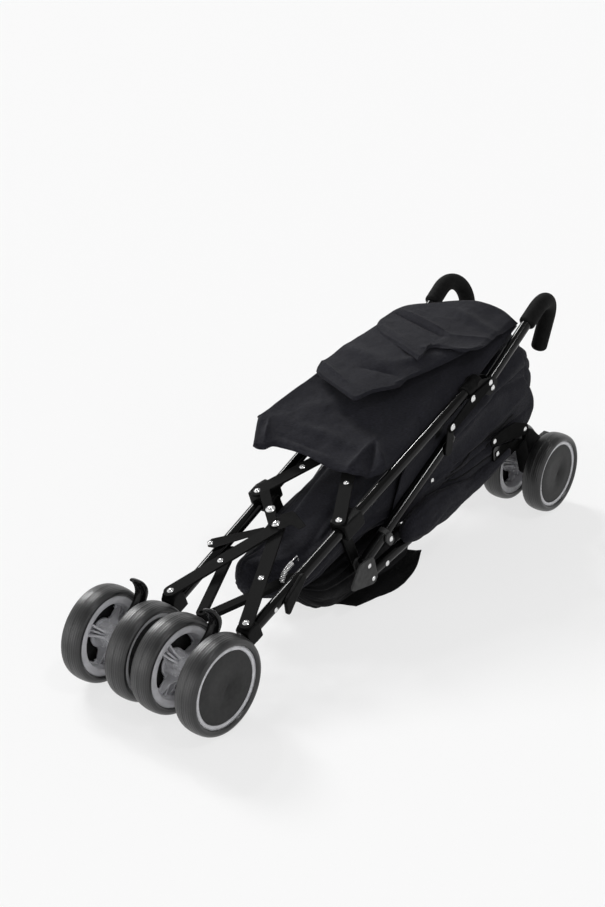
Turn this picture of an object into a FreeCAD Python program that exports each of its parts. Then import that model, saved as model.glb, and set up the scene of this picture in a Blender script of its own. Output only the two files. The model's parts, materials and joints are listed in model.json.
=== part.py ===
import FreeCAD, Part
import math
import os

from FreeCAD import Placement, Rotation, Vector

# Folded umbrella stroller lying on its wheels, seat side up.
# Design places are measured from the front axle: y runs towards the handles, z is up from the floor.
# Each side frame is drawn in its own upright plane, with t pointing outward from that plane.

SIZES = [
    # Side frames
    ("side_offset", 70, "half distance between the side planes at the front axle"),
    ("splay", 1.9, "degrees that each side plane turns outward"),
    # Wheels
    ("wheel_radius", 75, "tyre outer radius"),
    ("tyre_width", 38, "tyre width"),
    ("tyre_depth", 12.5, "tyre section depth"),
    ("tread_half", 9, "half width of the flat tread"),
    ("shoulder_drop", 7, "how far the tyre shoulder lies below the tread"),
    ("bead_inset", 4, "how far the tyre bead lies inside its side"),
    ("twin_gap", 48, "space between the two tyres of a pair"),
    ("rim_lip", 7, "radial width of the pale lip"),
    ("rim_draft", 4, "taper of the dish wall"),
    ("hub_radius", 15, "wheel hub radius"),
    ("hub_gap", 0.3, "running gap between hub and fork sleeve"),
    ("rib_count", 5, "ribs between hub and lip"),
    ("rib_thickness", 5, "rib thickness"),
    ("rib_height", 13, "how far a rib stands up from the web"),
    ("window_inner", 25, "inner radius of a window in the web"),
    ("window_outer", 47, "outer radius of a window in the web"),
    ("window_half", 21, "half the degrees that a window takes"),
    ("web_thickness", 6, "rim web thickness"),
    ("cover_radius", 56, "wheel cover radius"),
    ("cover_thickness", 4, "wheel cover thickness"),
    ("axle_radius", 5, "axle radius"),
    ("running_clearance", 0.05, "radial clearance of a shaft in its hole"),
    ("rear_axle_y", 915, "rear axle from the front axle"),
    # Main tubes
    ("tube_radius", 9.5, "frame tube outer radius"),
    ("tube_wall", 1.5, "frame tube wall"),
    ("anchor_y", 111, "a point on the main tube's axis"),
    ("anchor_z", 87, "height of that point"),
    ("tube_rise", 20.4, "degrees that the main tube rises"),
    ("tube_low", -33, "low end of the main tube from the anchor point"),
    ("tube_high", 639, "high end of the main tube from the anchor point"),
    ("side_gap", 0.3, "gap between pieces that move past each other"),
    # Front wheel housing and fork
    ("swivel_rise", 44, "degrees that the swivel axis rises in the folded pose"),
    ("swivel_y", 66, "swivel axis crosses here"),
    ("swivel_z", 70.3, "height of that crossing"),
    ("boss_radius", 14, "swivel boss radius"),
    ("boss_low", 13, "boss below the crossing"),
    ("boss_high", 20, "boss above the crossing"),
    ("sleeve_wall", 4, "moulded wall round a tube"),
    ("socket_length", 26, "length of the sleeve on the main tube"),
    ("stem_radius", 4, "swivel stem radius"),
    ("crown_depth", 9, "fork crown thickness"),
    ("fork_width", 30, "fork sleeve length between the wheels"),
    ("arm_width", 22, "fork arm width"),
    ("fork_radius", 13, "fork sleeve radius"),
    # Toe lever
    ("lever_y", 10, "toe lever pin"),
    ("lever_z", 99, "height of the toe lever pin"),
    ("lever_width", 18, "toe lever width"),
    ("lever_eye", 7, "toe lever eye radius"),
    ("lever_room", 1.2, "room round the toe lever's eye in the fork"),
    ("lever_reach", 39, "toe lever reach to its bend"),
    ("lever_rise", 68.5, "toe lever height to its tip"),
    ("lever_thickness", 20, "toe lever's greatest thickness"),
    # Folding braces
    ("brace_width", 22, "flat bar width"),
    ("brace_thickness", 4, "flat bar thickness"),
    ("brace_low_level", 18, "underside of the lower bar above the tube axis"),
    ("brace_high_level", 22.3, "underside of the upper bar above the tube axis"),
    ("lower_pivot", 4, "lower brace pivot along the tube from the anchor"),
    ("lower_reach", 181, "lower brace centre bolt beyond its pivots"),
    ("upper_pivot", 239, "upper brace pivot along the tube"),
    ("upper_reach", 165, "upper brace hinge beyond its pivots"),
    ("rivet_radius", 3, "rivet hole radius"),
    ("bracket_length", 28, "lower bracket length"),
    ("bracket_width", 25, "bracket width across"),
    ("plate_thickness", 3, "centre plate thickness"),
    ("plate_radius", 10, "centre plate corner radius"),
    ("plate_reach", 46, "centre plate reach to the right"),
    # Cross brace under the front
    ("cross_pivot_y", 235, "cross brace pivot"),
    ("cross_pivot_z", 126, "height of the cross brace pivot"),
    ("cross_centre_y", 93, "cross brace centre hinge"),
    ("cross_centre_z", 100, "height of the centre hinge"),
    ("cross_width", 15, "cross bar width"),
    ("cross_thickness", 8, "cross bar thickness"),
    # Collar, pivot plate, strut
    ("collar_low", 232, "collar low end along the tube"),
    ("collar_length", 46, "collar length"),
    ("leg_pivot_y", 404, "rear leg pivot"),
    ("leg_pivot_z", 59, "height of the rear leg pivot"),
    ("strut_low_y", 392, "strut low end"),
    ("strut_low_z", 87, "height of the strut low end"),
    ("strut_rise", 30, "degrees that the strut rises"),
    ("strut_length", 278, "strut length"),
    ("cheek_thickness", 3, "pivot plate cheek"),
    ("cheek_radius", 13, "pivot plate radius at the leg"),
    ("leaf_reach", 38, "leaf tip ahead of the leg pivot"),
    ("leaf_drop", 15, "leaf tip below the leg pivot"),
    ("leaf_radius", 7, "leaf tip radius"),
    ("clamp_width", 24, "strut clamp width"),
    ("link_thickness", 3, "flat link thickness"),
    ("link_radius", 7, "flat link half width"),
    ("link_y", 753, "link's upper rivet"),
    ("link_z", 274, "height of the link's upper rivet"),
    # Rear leg
    ("leg_rise", 10.9, "degrees that the folded rear leg rises"),
    ("leg_short", 33.8, "how far the rear leg ends ahead of its axle"),
    ("leg_length", "=(rear_axle_y - leg_short - leg_pivot_y) / cos(leg_rise * 1deg)", "rear leg length"),
    ("gusset_height", 30, "leg plate height above the leg axis"),
    ("gusset_length", 84, "leg plate length"),
    ("gusset_short", 26, "how far the leg plate stops before the end of the leg"),
    ("gusset_thickness", 3, "leg plate thickness"),
    ("rear_width", 30, "rear housing width"),
    ("rear_boss", 17, "rear housing radius at the axle"),
    ("dome_radius", 14, "brake pin boss radius"),
    ("dome_y", 21, "brake pin behind the axle"),
    ("dome_z", 31, "brake pin above the axle"),
    ("pedal_reach", 42, "brake pedal reach"),
    ("pedal_width", 26, "brake pedal width"),
    ("pedal_thickness", 7, "brake pedal thickness"),
    ("pedal_swing", 20, "degrees that the brake pedal turns"),
    # Handles
    ("handle_pivot_y", 744, "handle pivot"),
    ("handle_pivot_z", 293, "height of the handle pivot"),
    ("handle_rise", 32, "degrees that the folded handle rises"),
    ("handle_straight", 178, "handle pivot to the start of the hook"),
    ("hook_radius", 48, "hook bend radius"),
    ("hook_turn", 118, "degrees that the hook turns"),
    ("hook_toe", 14, "degrees that the hook leans inward"),
    ("hook_tail", 62, "straight end of the hook"),
    ("grip_radius", 15, "foam grip radius"),
    ("grip_lead", 36, "foam before the hook"),
    ("grip_cap", 6, "foam past the end of the tube"),
    ("handle_swing", 11.6, "degrees that the handle turns to line up with the tube"),
    ("joint_length", 54, "joint housing length on the main tube"),
    ("joint_wall", 4.5, "joint housing wall"),
    # Soft parts
    ("canopy_front", 412, "canopy's front edge on the middle plane"),
    ("canopy_length", 430, "canopy length"),
    ("canopy_left", 140, "canopy's reach to the left"),
    ("canopy_height", 72, "canopy's crown above the tubes' plane"),
    ("canopy_floor", "=brace_high_level + brace_thickness + side_gap", "its underside above the tubes' plane"),
    ("canopy_sink", 8, "how far its right edge lies below the tubes' plane"),
    ("seat_front", 268, "seat fabric's front end"),
    ("seat_length", 667, "seat fabric length"),
    ("seat_half", 85.2, "seat fabric's greatest half width"),
    ("seat_floor", 100, "seat fabric's lowest point"),
    ("seat_sag", 42, "how far its top sags below the tubes' plane near its rear end"),
    ("basket_front", 318, "basket's front end"),
    ("basket_length", 272, "basket length"),
    ("basket_half", 68.3, "basket's half width"),
    ("basket_height", 92, "basket's top"),
    # Storage hook
    ("hook_pin_u", 122, "storage hook pin along the tube"),
    ("hook_length", 38, "storage hook's reach along the tube"),
    ("hook_nose", 45.6, "storage hook's nose along the tube"),
    ("hook_thickness", 6, "storage hook thickness"),
    ("spring_radius", 22, "leaf spring bend radius"),
    ("spring_thickness", 1.6, "leaf spring thickness"),
    ("spring_width", 5, "leaf spring width"),
    ("spring_start", 75, "degrees where the leaf spring starts"),
    ("spring_end", 190, "degrees where it ends"),
]

doc = FreeCAD.newDocument("stroller")
sheet = doc.addObject("Spreadsheet::Sheet", "Sizes")
for row, (alias, value, note) in enumerate(SIZES, 1):
    sheet.set(f"A{row}", note)
    sheet.set(f"B{row}", str(value))
    sheet.setAlias(f"B{row}", alias)
doc.recompute()

NODES = []
SIDES = (("left", -1), ("right", 1))


def size(alias):
    return float(sheet.get(alias))


def turn(alias):
    return math.radians(size(alias))


def bind(thing, prop, formula):
    """Ties a property to the sheet; a bare word in the formula is a cell's alias."""
    words = formula.split()
    thing.setExpression(prop, " ".join("Sizes." + w if w[0].isalpha() else w for w in words))


# Places in a side plane
RISE = (math.cos(turn("tube_rise")), math.sin(turn("tube_rise")))


def on_tube(u, v=0):
    """A point u along the main tube from its anchor and v above its axis."""
    return (size("anchor_y") + u * RISE[0] - v * RISE[1], size("anchor_z") + u * RISE[1] + v * RISE[0])


def polar(centre, angle, reach, above=0):
    """A point at a reach from a centre along an angle in degrees, and above that line."""
    a = math.radians(angle)
    return (centre[0] + reach * math.cos(a) - above * math.sin(a),
            centre[1] + reach * math.sin(a) + above * math.cos(a))


# The origin is on the floor, midway between the front and rear axles
ORIGIN_Y = size("rear_axle_y") * math.cos(turn("splay")) / 2


def side_place(side):
    return Placement(Vector(side * size("side_offset"), -ORIGIN_Y, 0),
                     Rotation(Vector(0, 0, 1), -side * size("splay")))


# Outlines in a sketch plane
def hull(circles):
    """The outline round circles (x, y, radius) listed counter-clockwise: arcs and their tangents."""
    normals = []
    for (x0, y0, r0), (x1, y1, r1) in zip(circles, circles[1:] + circles[:1]):
        span = math.hypot(x1 - x0, y1 - y0)
        along = ((x1 - x0) / span, (y1 - y0) / span)
        lean = (r0 - r1) / span
        out = math.sqrt(1 - lean * lean)
        normals.append((lean * along[0] + out * along[1], lean * along[1] - out * along[0]))
    edges = []
    for k, (x, y, r) in enumerate(circles):
        before, after = normals[k - 1], normals[k]
        start = math.atan2(before[1], before[0])
        end = math.atan2(after[1], after[0])
        circle = Part.Circle(Vector(x, y, 0), Vector(0, 0, 1), r)
        edges.append(Part.ArcOfCircle(circle, start, end if end > start else end + math.tau))
        nx, ny, nr = circles[(k + 1) % len(circles)]
        edges.append(Part.LineSegment(Vector(x + r * after[0], y + r * after[1], 0),
                                      Vector(nx + nr * after[0], ny + nr * after[1], 0)))
    return edges


def polygon(points):
    corners = [Vector(x, y, 0) for x, y in points]
    return [Part.LineSegment(a, b) for a, b in zip(corners, corners[1:] + corners[:1])]


def ring(x, y, radius):
    return [Part.Circle(Vector(x, y, 0), Vector(0, 0, 1), radius)]


# Features of a body
def new_body(label, place=None):
    body = doc.addObject("PartDesign::Body", label)
    body.Label = label
    if place:
        body.Placement = place
    return body


def sketch(body, role, edges, level=0):
    drawing = body.newObject("Sketcher::SketchObject", "Sketch")
    plane = next(item for item in body.Origin.OriginFeatures if item.Role == role)
    drawing.AttachmentSupport = (plane, "")
    drawing.MapMode = "FlatFace"
    drawing.AttachmentOffset = Placement(Vector(0, 0, level), Rotation())
    drawing.addGeometry(edges, False)
    drawing.Visibility = False
    return drawing


def pad(body, role, edges, formula, level=0, both_ways=True):
    feature = body.newObject("PartDesign::Pad", "Pad")
    feature.Profile = sketch(body, role, edges, level)
    feature.SideType = "Symmetric" if both_ways else "One side"
    bind(feature, "Length", formula)
    body.Tip = feature
    return feature


def pocket(body, role, edges, formula, level=0):
    """A cut that goes the same way to both sides of its sketch."""
    feature = body.newObject("PartDesign::Pocket", "Pocket")
    feature.Profile = sketch(body, role, edges, level)
    feature.SideType = "Symmetric"
    bind(feature, "Length", formula)
    body.Tip = feature
    return feature


def rod(body, kind, radius, length, start, way):
    """An additive or subtractive cylinder from a start point along a way."""
    feature = body.newObject("PartDesign::" + kind + "Cylinder", kind + "Cylinder")
    bind(feature, "Radius", radius)
    bind(feature, "Height", length)
    feature.Placement = Placement(Vector(*start), Rotation(Vector(0, 0, 1), Vector(*way)))
    body.Tip = feature
    return feature


def revolve(body, points):
    """Turns an outline of (radius, height) round the body's Z axis."""
    drawing = sketch(body, "XZ_Plane", polygon(points))
    feature = body.newObject("PartDesign::Revolution", "Revolution")
    feature.Profile = drawing
    feature.ReferenceAxis = (drawing, ["V_Axis"])
    feature.Angle = 360
    body.Tip = feature
    return feature


def fillet(body, radius, pick):
    doc.recompute()
    base = body.Tip
    names = [f"Edge{k}" for k, edge in enumerate(base.Shape.Edges, 1) if pick(edge)]
    feature = body.newObject("PartDesign::Fillet", "Fillet")
    feature.Base = (base, names)
    bind(feature, "Radius", radius)
    body.Tip = feature
    return feature


def keep(thing):
    NODES.append(thing)
    return thing


def group(label, pieces):
    whole = doc.addObject("Part::Compound", label)
    whole.Label = label
    whole.Links = pieces
    return keep(whole)


def tube_body(label, place, start, angle, radius, wall, length):
    """A straight tube in a side plane from a start (y, z) along an angle in degrees."""
    a = math.radians(angle)
    way = Rotation(Vector(0, 0, 1), Vector(0, math.cos(a), math.sin(a)))
    body = new_body(label, place.multiply(Placement(Vector(0, start[0], start[1]), way)))
    pad(body, "XY_Plane", ring(0, 0, size(radius)) + ring(0, 0, size(radius) - size(wall)), length, 0, False)
    return body


# Wheels: each pair turns with one live axle
RIM_RADIUS = size("wheel_radius") - size("tyre_depth")
RIM_HALF = size("tyre_width") / 2 - size("bead_inset")
WHEEL_T = (size("twin_gap") + size("tyre_width")) / 2
HUB_END = WHEEL_T - size("fork_width") / 2 - size("hub_gap")


def tyre(label, place):
    body = new_body(label, place)
    half = size("tyre_width") / 2
    shoulder = size("wheel_radius") - size("shoulder_drop")
    rise = [(RIM_RADIUS, RIM_HALF), (shoulder, half), (size("wheel_radius"), size("tread_half"))]
    revolve(body, rise + [(r, -w) for r, w in reversed(rise)])
    return body


def repeat(body, feature):
    """Repeats a feature round the body's Z axis, once for each rib."""
    pattern = body.newObject("PartDesign::PolarPattern", "Pattern")
    pattern.Originals = [feature]
    pattern.Axis = (feature.Profile[0], ["N_Axis"])
    pattern.Angle = 360
    bind(pattern, "Occurrences", "rib_count")
    body.Tip = pattern


def rim(label, place):
    body = new_body(label, place)
    outer = RIM_HALF - size("cover_thickness")
    web = outer - size("web_thickness")
    lip = RIM_RADIUS - size("rim_lip")
    seat = size("cover_radius") + size("side_gap")
    revolve(body, [(size("axle_radius"), outer), (seat, outer), (seat, RIM_HALF), (RIM_RADIUS, RIM_HALF),
                   (RIM_RADIUS, -RIM_HALF), (lip, -RIM_HALF),
                   (lip - size("rim_draft"), web), (size("hub_radius"), web),
                   (size("hub_radius"), -HUB_END), (size("axle_radius"), -HUB_END)])
    half = size("rib_thickness") / 2
    reach = lip - size("rim_draft") / 2
    inside = size("hub_radius") - half
    rib = pad(body, "XY_Plane", polygon([(inside, -half), (reach, -half), (reach, half), (inside, half)]),
              "rib_height", web - size("rib_height"), False)
    repeat(body, rib)
    middle = 180 / size("rib_count")
    corners = [(size("window_inner"), -1), (size("window_outer"), -1), (size("window_outer"), 1),
               (size("window_inner"), 1)]
    window = [polar((0, 0), middle + side * size("window_half"), reach) for reach, side in corners]
    repeat(body, pocket(body, "XY_Plane", polygon(window), "2 * web_thickness", outer))
    return body


def cover(label, place):
    body = new_body(label, place)
    pad(body, "XY_Plane", ring(0, 0, size("cover_radius")), "cover_thickness",
        RIM_HALF - size("cover_thickness"), False)
    return body


def wheel_pair(name, side, y):
    """Two tyres, two rims and two covers, each in one node, and their axle."""
    here = side_place(side).multiply(Placement(Vector(0, y, size("wheel_radius")), Rotation()))
    places = []
    for way in (-1, 1):
        places.append(here.multiply(Placement(Vector(way * WHEEL_T, 0, 0), Rotation(Vector(0, 0, 1), Vector(way, 0, 0)))))
    for label, make in (("tyres", tyre), ("rims", rim), ("wheel_covers", cover)):
        group(f"{label}_{name}", [make(f"{label}_{name}_{k}", place) for k, place in enumerate(places, 1)])
    axle = new_body(f"axle_{name}", here.multiply(Placement(Vector(), Rotation(Vector(0, 0, 1), Vector(1, 0, 0)))))
    pad(axle, "XY_Plane", ring(0, 0, size("axle_radius")),
        "twin_gap + tyre_width + ( tyre_width - 2 * bead_inset ) - 2 * cover_thickness")
    keep(axle)


for name, side in SIDES:
    wheel_pair(f"front_{name}", side, 0)
    wheel_pair(f"rear_{name}", side, size("rear_axle_y"))


# Front housing, fork and toe lever
SWIVEL = (size("swivel_y"), size("swivel_z"))
SWIVEL_WAY = (0, math.cos(turn("swivel_rise")), math.sin(turn("swivel_rise")))
TUBE_WAY = (0, RISE[0], RISE[1])


def on_swivel(reach, above=0):
    return polar(SWIVEL, size("swivel_rise"), reach, above)


def front_socket(name, place):
    body = new_body(f"front_socket_{name}", place)
    low = on_swivel(-size("boss_low"))
    rod(body, "Additive", "boss_radius", "boss_low + boss_high", (0, *low), SWIVEL_WAY)
    start = on_tube(size("tube_low") - size("sleeve_wall"))
    rod(body, "Additive", "tube_radius + sleeve_wall", "socket_length", (0, *start), TUBE_WAY)
    rod(body, "Subtractive", "tube_radius", "socket_length", (0, *on_tube(size("tube_low"))), TUBE_WAY)
    rod(body, "Subtractive", "stem_radius + running_clearance", "boss_low + boss_high", (0, *low), SWIVEL_WAY)
    return keep(body)


def front_fork(name, place):
    body = new_body(f"front_fork_{name}", place)
    gap = size("boss_low") + size("side_gap")
    crown = on_swivel(-gap - size("crown_depth"))
    rod(body, "Additive", "boss_radius", "crown_depth", (0, *crown), SWIVEL_WAY)
    middle = on_swivel(-gap - size("crown_depth") / 2)
    arm = size("crown_depth") / 2
    pad(body, "YZ_Plane", hull([(0, size("wheel_radius"), size("fork_radius")), (*middle, arm)]), "arm_width")
    rod(body, "Additive", "fork_radius", "fork_width", (-size("fork_width") / 2, 0, size("wheel_radius")), (1, 0, 0))
    lug = (size("lever_y"), size("lever_z"))
    pad(body, "YZ_Plane", hull([(0, size("wheel_radius"), size("lever_eye")), (*lug, size("lever_eye"))]), "arm_width")
    slot = ring(*lug, size("lever_eye") + size("lever_room"))
    pocket(body, "YZ_Plane", slot, "lever_width + 2 * side_gap")
    bore = "axle_radius + running_clearance"
    rod(body, "Subtractive", bore, "fork_width", (-size("fork_width") / 2, 0, size("wheel_radius")), (1, 0, 0))
    stem_top = "boss_low + side_gap + crown_depth + boss_high / 2"
    rod(body, "Additive", "stem_radius", stem_top, (0, *crown), SWIVEL_WAY)
    return keep(body)


# Along the toe lever: shares of its reach, rise and thickness
LEVER_SHARES = [(0, 0, 0.7), (0.46, 0.13, 0.7), (0.82, 0.28, 0.8), (1, 0.47, 1), (0.92, 0.7, 0.8),
                (0.72, 0.89, 0.55), (0.56, 1, 0.25)]


def toe_lever(name, place):
    """A curved horn that rises from the fork between the two wheels."""
    body = new_body(f"swivel_lever_{name}", place)
    circles = []
    for reach, rise, thick in LEVER_SHARES:
        circles.append((size("lever_y") + reach * size("lever_reach"), size("lever_z") + rise * size("lever_rise"),
                        thick * size("lever_thickness") / 2))
    for first, second in zip(circles, circles[1:]):
        pad(body, "YZ_Plane", hull([first, second]), "lever_width")
    return keep(body)


def main_tube(name, place):
    start = on_tube(size("tube_low"))
    return keep(tube_body(f"main_tube_{name}", place, start, size("tube_rise"), "tube_radius", "tube_wall",
                          "tube_high - tube_low"))


def lower_bracket(name, place, level):
    """A saddle on the tube that carries the lower brace bar."""
    body = new_body(f"lower_bracket_{name}", place)
    half = size("bracket_length") / 2
    u = size("lower_pivot")
    under = size("tube_radius") + size("sleeve_wall")
    top = size(level) - size("side_gap")
    shape = [(u - half, -under), (u + half, -under), (u + half, under), (u + half / 2, top),
             (u - half / 2, top), (u - half, under)]
    pad(body, "YZ_Plane", polygon([on_tube(*p) for p in shape]), "bracket_width")
    rod(body, "Subtractive", "tube_radius", "bracket_length", (0, *on_tube(u - half)), TUBE_WAY)
    return keep(body)


def collar(name, place, side, level):
    """The clamp that carries the upper brace bar, with an arm down to the pivot plate."""
    body = new_body(f"collar_{name}", place)
    low = size("collar_low")
    high = low + size("collar_length")
    u = size("upper_pivot")
    under = size("tube_radius") + size("sleeve_wall")
    top = size(level) - size("side_gap")
    third = size("collar_length") / 3
    shape = [(low, -under), (high, -under), (high, under), (u + third, top), (low, top)]
    pad(body, "YZ_Plane", polygon([on_tube(*p) for p in shape]), "bracket_width + 2 * cheek_thickness")
    foot = (size("strut_low_y"), size("strut_low_z"))
    head = on_tube((low + high) / 2, -size("tube_radius") / 2)
    inner = -size("tube_radius") - size("side_gap") - size("cheek_thickness") - size("cross_thickness") / 2
    level_t = side * inner - size("cross_thickness") / 2
    arm = hull([(*foot, size("plate_radius")), (*head, size("plate_radius"))])
    pad(body, "YZ_Plane", arm, "cross_thickness", level_t, False)
    rod(body, "Subtractive", "tube_radius", "collar_length", (0, *on_tube(low)), TUBE_WAY)
    return keep(body)


def pivot_plate(name, place):
    """A leaf of two cheeks that holds the rear leg's pin and the strut's foot."""
    body = new_body(f"pivot_plate_{name}", place)
    leg = (size("leg_pivot_y"), size("leg_pivot_z"))
    foot = (size("strut_low_y"), size("strut_low_z"))
    tip = (leg[0] - size("leaf_reach"), leg[1] - size("leaf_drop"))
    leaf = hull([(*tip, size("leaf_radius")), (*leg, size("cheek_radius")), (*foot, size("plate_radius"))])
    pad(body, "YZ_Plane", leaf, "2 * tube_radius + 2 * side_gap + 2 * cheek_thickness")
    edge = tip[0] + 2 * size("leaf_radius")
    beyond = size("leaf_reach") + size("cheek_radius")
    high = foot[1] + 2 * size("plate_radius")
    low = leg[1] - 2 * size("cheek_radius")
    slot = [(edge, low), (edge + beyond, low), (edge + beyond, high), (edge, high)]
    pocket(body, "YZ_Plane", polygon(slot), "2 * tube_radius + 2 * side_gap")
    return keep(body)


def strut(name, place):
    """The second tube, with a closed round end at the top."""
    start = (size("strut_low_y"), size("strut_low_z"))
    body = tube_body(f"strut_tube_{name}", place, start, size("strut_rise"), "tube_radius", "tube_wall", "strut_length")
    pad(body, "XY_Plane", ring(0, 0, size("tube_radius")), "tube_radius", size("strut_length"), False)
    top = size("strut_length") + size("tube_radius")
    fillet(body, "tube_radius - tube_wall", lambda edge: abs(edge.BoundBox.ZMin - top) < size("side_gap"))
    return keep(body)


def strut_clamp(name, place):
    """Joins the strut's top to the main tube."""
    body = new_body(f"strut_clamp_{name}", place)
    start = (size("strut_low_y"), size("strut_low_z"))
    back = polar(start, size("strut_rise"), size("strut_length") - size("collar_length") / 2)
    above = (back[0] - size("anchor_y")) * RISE[0] + (back[1] - size("anchor_z")) * RISE[1]
    wall = size("tube_radius") + size("sleeve_wall")
    head = on_tube(above + wall)
    pad(body, "YZ_Plane", hull([(*back, wall), (*head, wall)]), "clamp_width")
    span = 4 * wall
    pin = on_tube(above + wall - span / 2)
    rod(body, "Subtractive", "tube_radius", "4 * ( tube_radius + sleeve_wall )", (0, *pin), TUBE_WAY)
    a = turn("strut_rise")
    foot = polar(back, size("strut_rise"), -span / 2)
    rod(body, "Subtractive", "tube_radius", "4 * ( tube_radius + sleeve_wall )", (0, *foot), (0, math.cos(a), math.sin(a)))
    return keep(body)


def fold_link(name, place, side):
    """The flat link between the strut's top and the handle joint."""
    body = new_body(f"fold_link_{name}", place)
    start = (size("strut_low_y"), size("strut_low_z"))
    back = polar(start, size("strut_rise"), size("strut_length") - size("collar_length") / 2)
    inner = size("tube_radius") + size("joint_wall") + size("side_gap")
    level = inner if side > 0 else -inner - size("link_thickness")
    edges = hull([(*back, size("link_radius")), (size("link_y"), size("link_z"), size("link_radius"))])
    pad(body, "YZ_Plane", edges + ring(*back, size("rivet_radius")), "link_thickness", level, False)
    return keep(body)


def handle_joint(name, place):
    """A moulded housing on the main tube's end, with a fork that holds the handle's pin."""
    body = new_body(f"handle_joint_{name}", place)
    pin = (size("handle_pivot_y"), size("handle_pivot_z"))
    wall = size("tube_radius") + size("joint_wall")
    low = on_tube(size("tube_high") - size("joint_length") + wall)
    high = on_tube(size("tube_high"))
    ear = (size("link_y"), size("link_z"))
    outline = hull([(*low, wall), (*ear, size("link_radius") + size("joint_wall")), (*pin, wall), (*high, wall)])
    pad(body, "YZ_Plane", outline, "2 * tube_radius + 2 * joint_wall")
    rod(body, "Subtractive", "tube_radius", "joint_length + joint_length",
        (0, *on_tube(size("tube_high") - 2 * size("joint_length"))), TUBE_WAY)
    room = size("tube_radius") + size("side_gap")
    reach = 3 * wall
    swept = [polar(pin, size("handle_rise") - size("handle_swing"), 0, -room),
             polar(pin, size("handle_rise") - size("handle_swing"), reach, -room),
             polar(pin, size("handle_rise"), reach, room), polar(pin, size("handle_rise"), 0, room)]
    pocket(body, "YZ_Plane", polygon(swept), "2 * tube_radius + 2 * side_gap")
    pocket(body, "YZ_Plane", ring(*pin, room), "2 * tube_radius + 2 * side_gap")
    return keep(body)


def handle_frame(side):
    """The handle's own frame: Z runs along the tube and X points where the hook bends."""
    a = turn("handle_rise")
    toe = turn("hook_toe")
    along = Vector(0, math.cos(a), math.sin(a))
    down = Vector(0, math.sin(a), -math.cos(a))
    bend = down * math.cos(toe) + Vector(-side, 0, 0) * math.sin(toe)
    pin = Vector(0, size("handle_pivot_y"), size("handle_pivot_z"))
    return side_place(side).multiply(Placement(pin, Rotation(bend, along.cross(bend), along, "ZXY")))


def hook_path(start, tail):
    """Straight, then the hook, then its tail, in the X and Z of the handle's frame."""
    bend = size("handle_straight")
    radius = size("hook_radius")
    end_angle = math.pi - turn("hook_turn")
    arc = Part.ArcOfCircle(Part.Circle(Vector(radius, bend, 0), Vector(0, 0, 1), radius), end_angle, math.pi)
    last = Vector(radius + radius * math.cos(end_angle), bend + radius * math.sin(end_angle), 0)
    way = Vector(math.sin(turn("hook_turn")), math.cos(turn("hook_turn")), 0)
    return [Part.LineSegment(Vector(0, start, 0), Vector(0, bend, 0)), arc, Part.LineSegment(last, last + way * tail)]


def pipe(body, profile, path):
    feature = body.newObject("PartDesign::AdditivePipe", "Pipe")
    feature.Profile = profile
    feature.Spine = path
    body.Tip = feature
    return feature


def handle_tube(name, side):
    body = new_body(f"handle_tube_{name}", handle_frame(side))
    inner = size("tube_radius") - size("tube_wall")
    profile = sketch(body, "XY_Plane", ring(0, 0, size("tube_radius")) + ring(0, 0, inner))
    pipe(body, profile, sketch(body, "XZ_Plane", hook_path(0, size("hook_tail"))))
    return keep(body)


def handle_grip(name, side):
    body = new_body(f"handle_grip_{name}", handle_frame(side))
    start = size("handle_straight") - size("grip_lead")
    rings = ring(0, 0, size("grip_radius")) + ring(0, 0, size("tube_radius"))
    profile = sketch(body, "XY_Plane", rings, start)
    pipe(body, profile, sketch(body, "XZ_Plane", hook_path(start, size("hook_tail"))))
    last = hook_path(start, size("hook_tail"))[-1]
    end = last.EndPoint
    way = (last.EndPoint - last.StartPoint).normalize()
    rod(body, "Additive", "grip_radius", "grip_cap", (end.x, 0, end.y), (way.x, 0, way.y))
    return keep(body)


def rear_leg(name, place, side):
    """The leg tube, with the long plate riveted near its wheels."""
    pin = (size("leg_pivot_y"), size("leg_pivot_z"))
    body = new_body(f"rear_leg_{name}", place)
    a = turn("leg_rise")
    way = (0, math.cos(a), math.sin(a))
    rod(body, "Additive", "tube_radius", "leg_length", (0, *pin), way)
    ring_end = ring(*pin, size("tube_radius"))
    pad(body, "YZ_Plane", ring_end, "2 * tube_radius")
    length = size("leg_length")
    eye = size("link_radius")
    plate_end = length - size("gusset_short")
    plate_start = plate_end - size("gusset_length")
    corners = [polar(pin, size("leg_rise"), plate_start), polar(pin, size("leg_rise"), plate_end),
               polar(pin, size("leg_rise"), plate_start, size("gusset_height"))]
    level = size("tube_radius") - size("gusset_thickness") / 2
    plate = hull([(*c, eye) for c in corners])
    start = level if side > 0 else -level - size("gusset_thickness")
    pad(body, "YZ_Plane", plate, "gusset_thickness", start, False)
    return keep(body)


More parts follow.
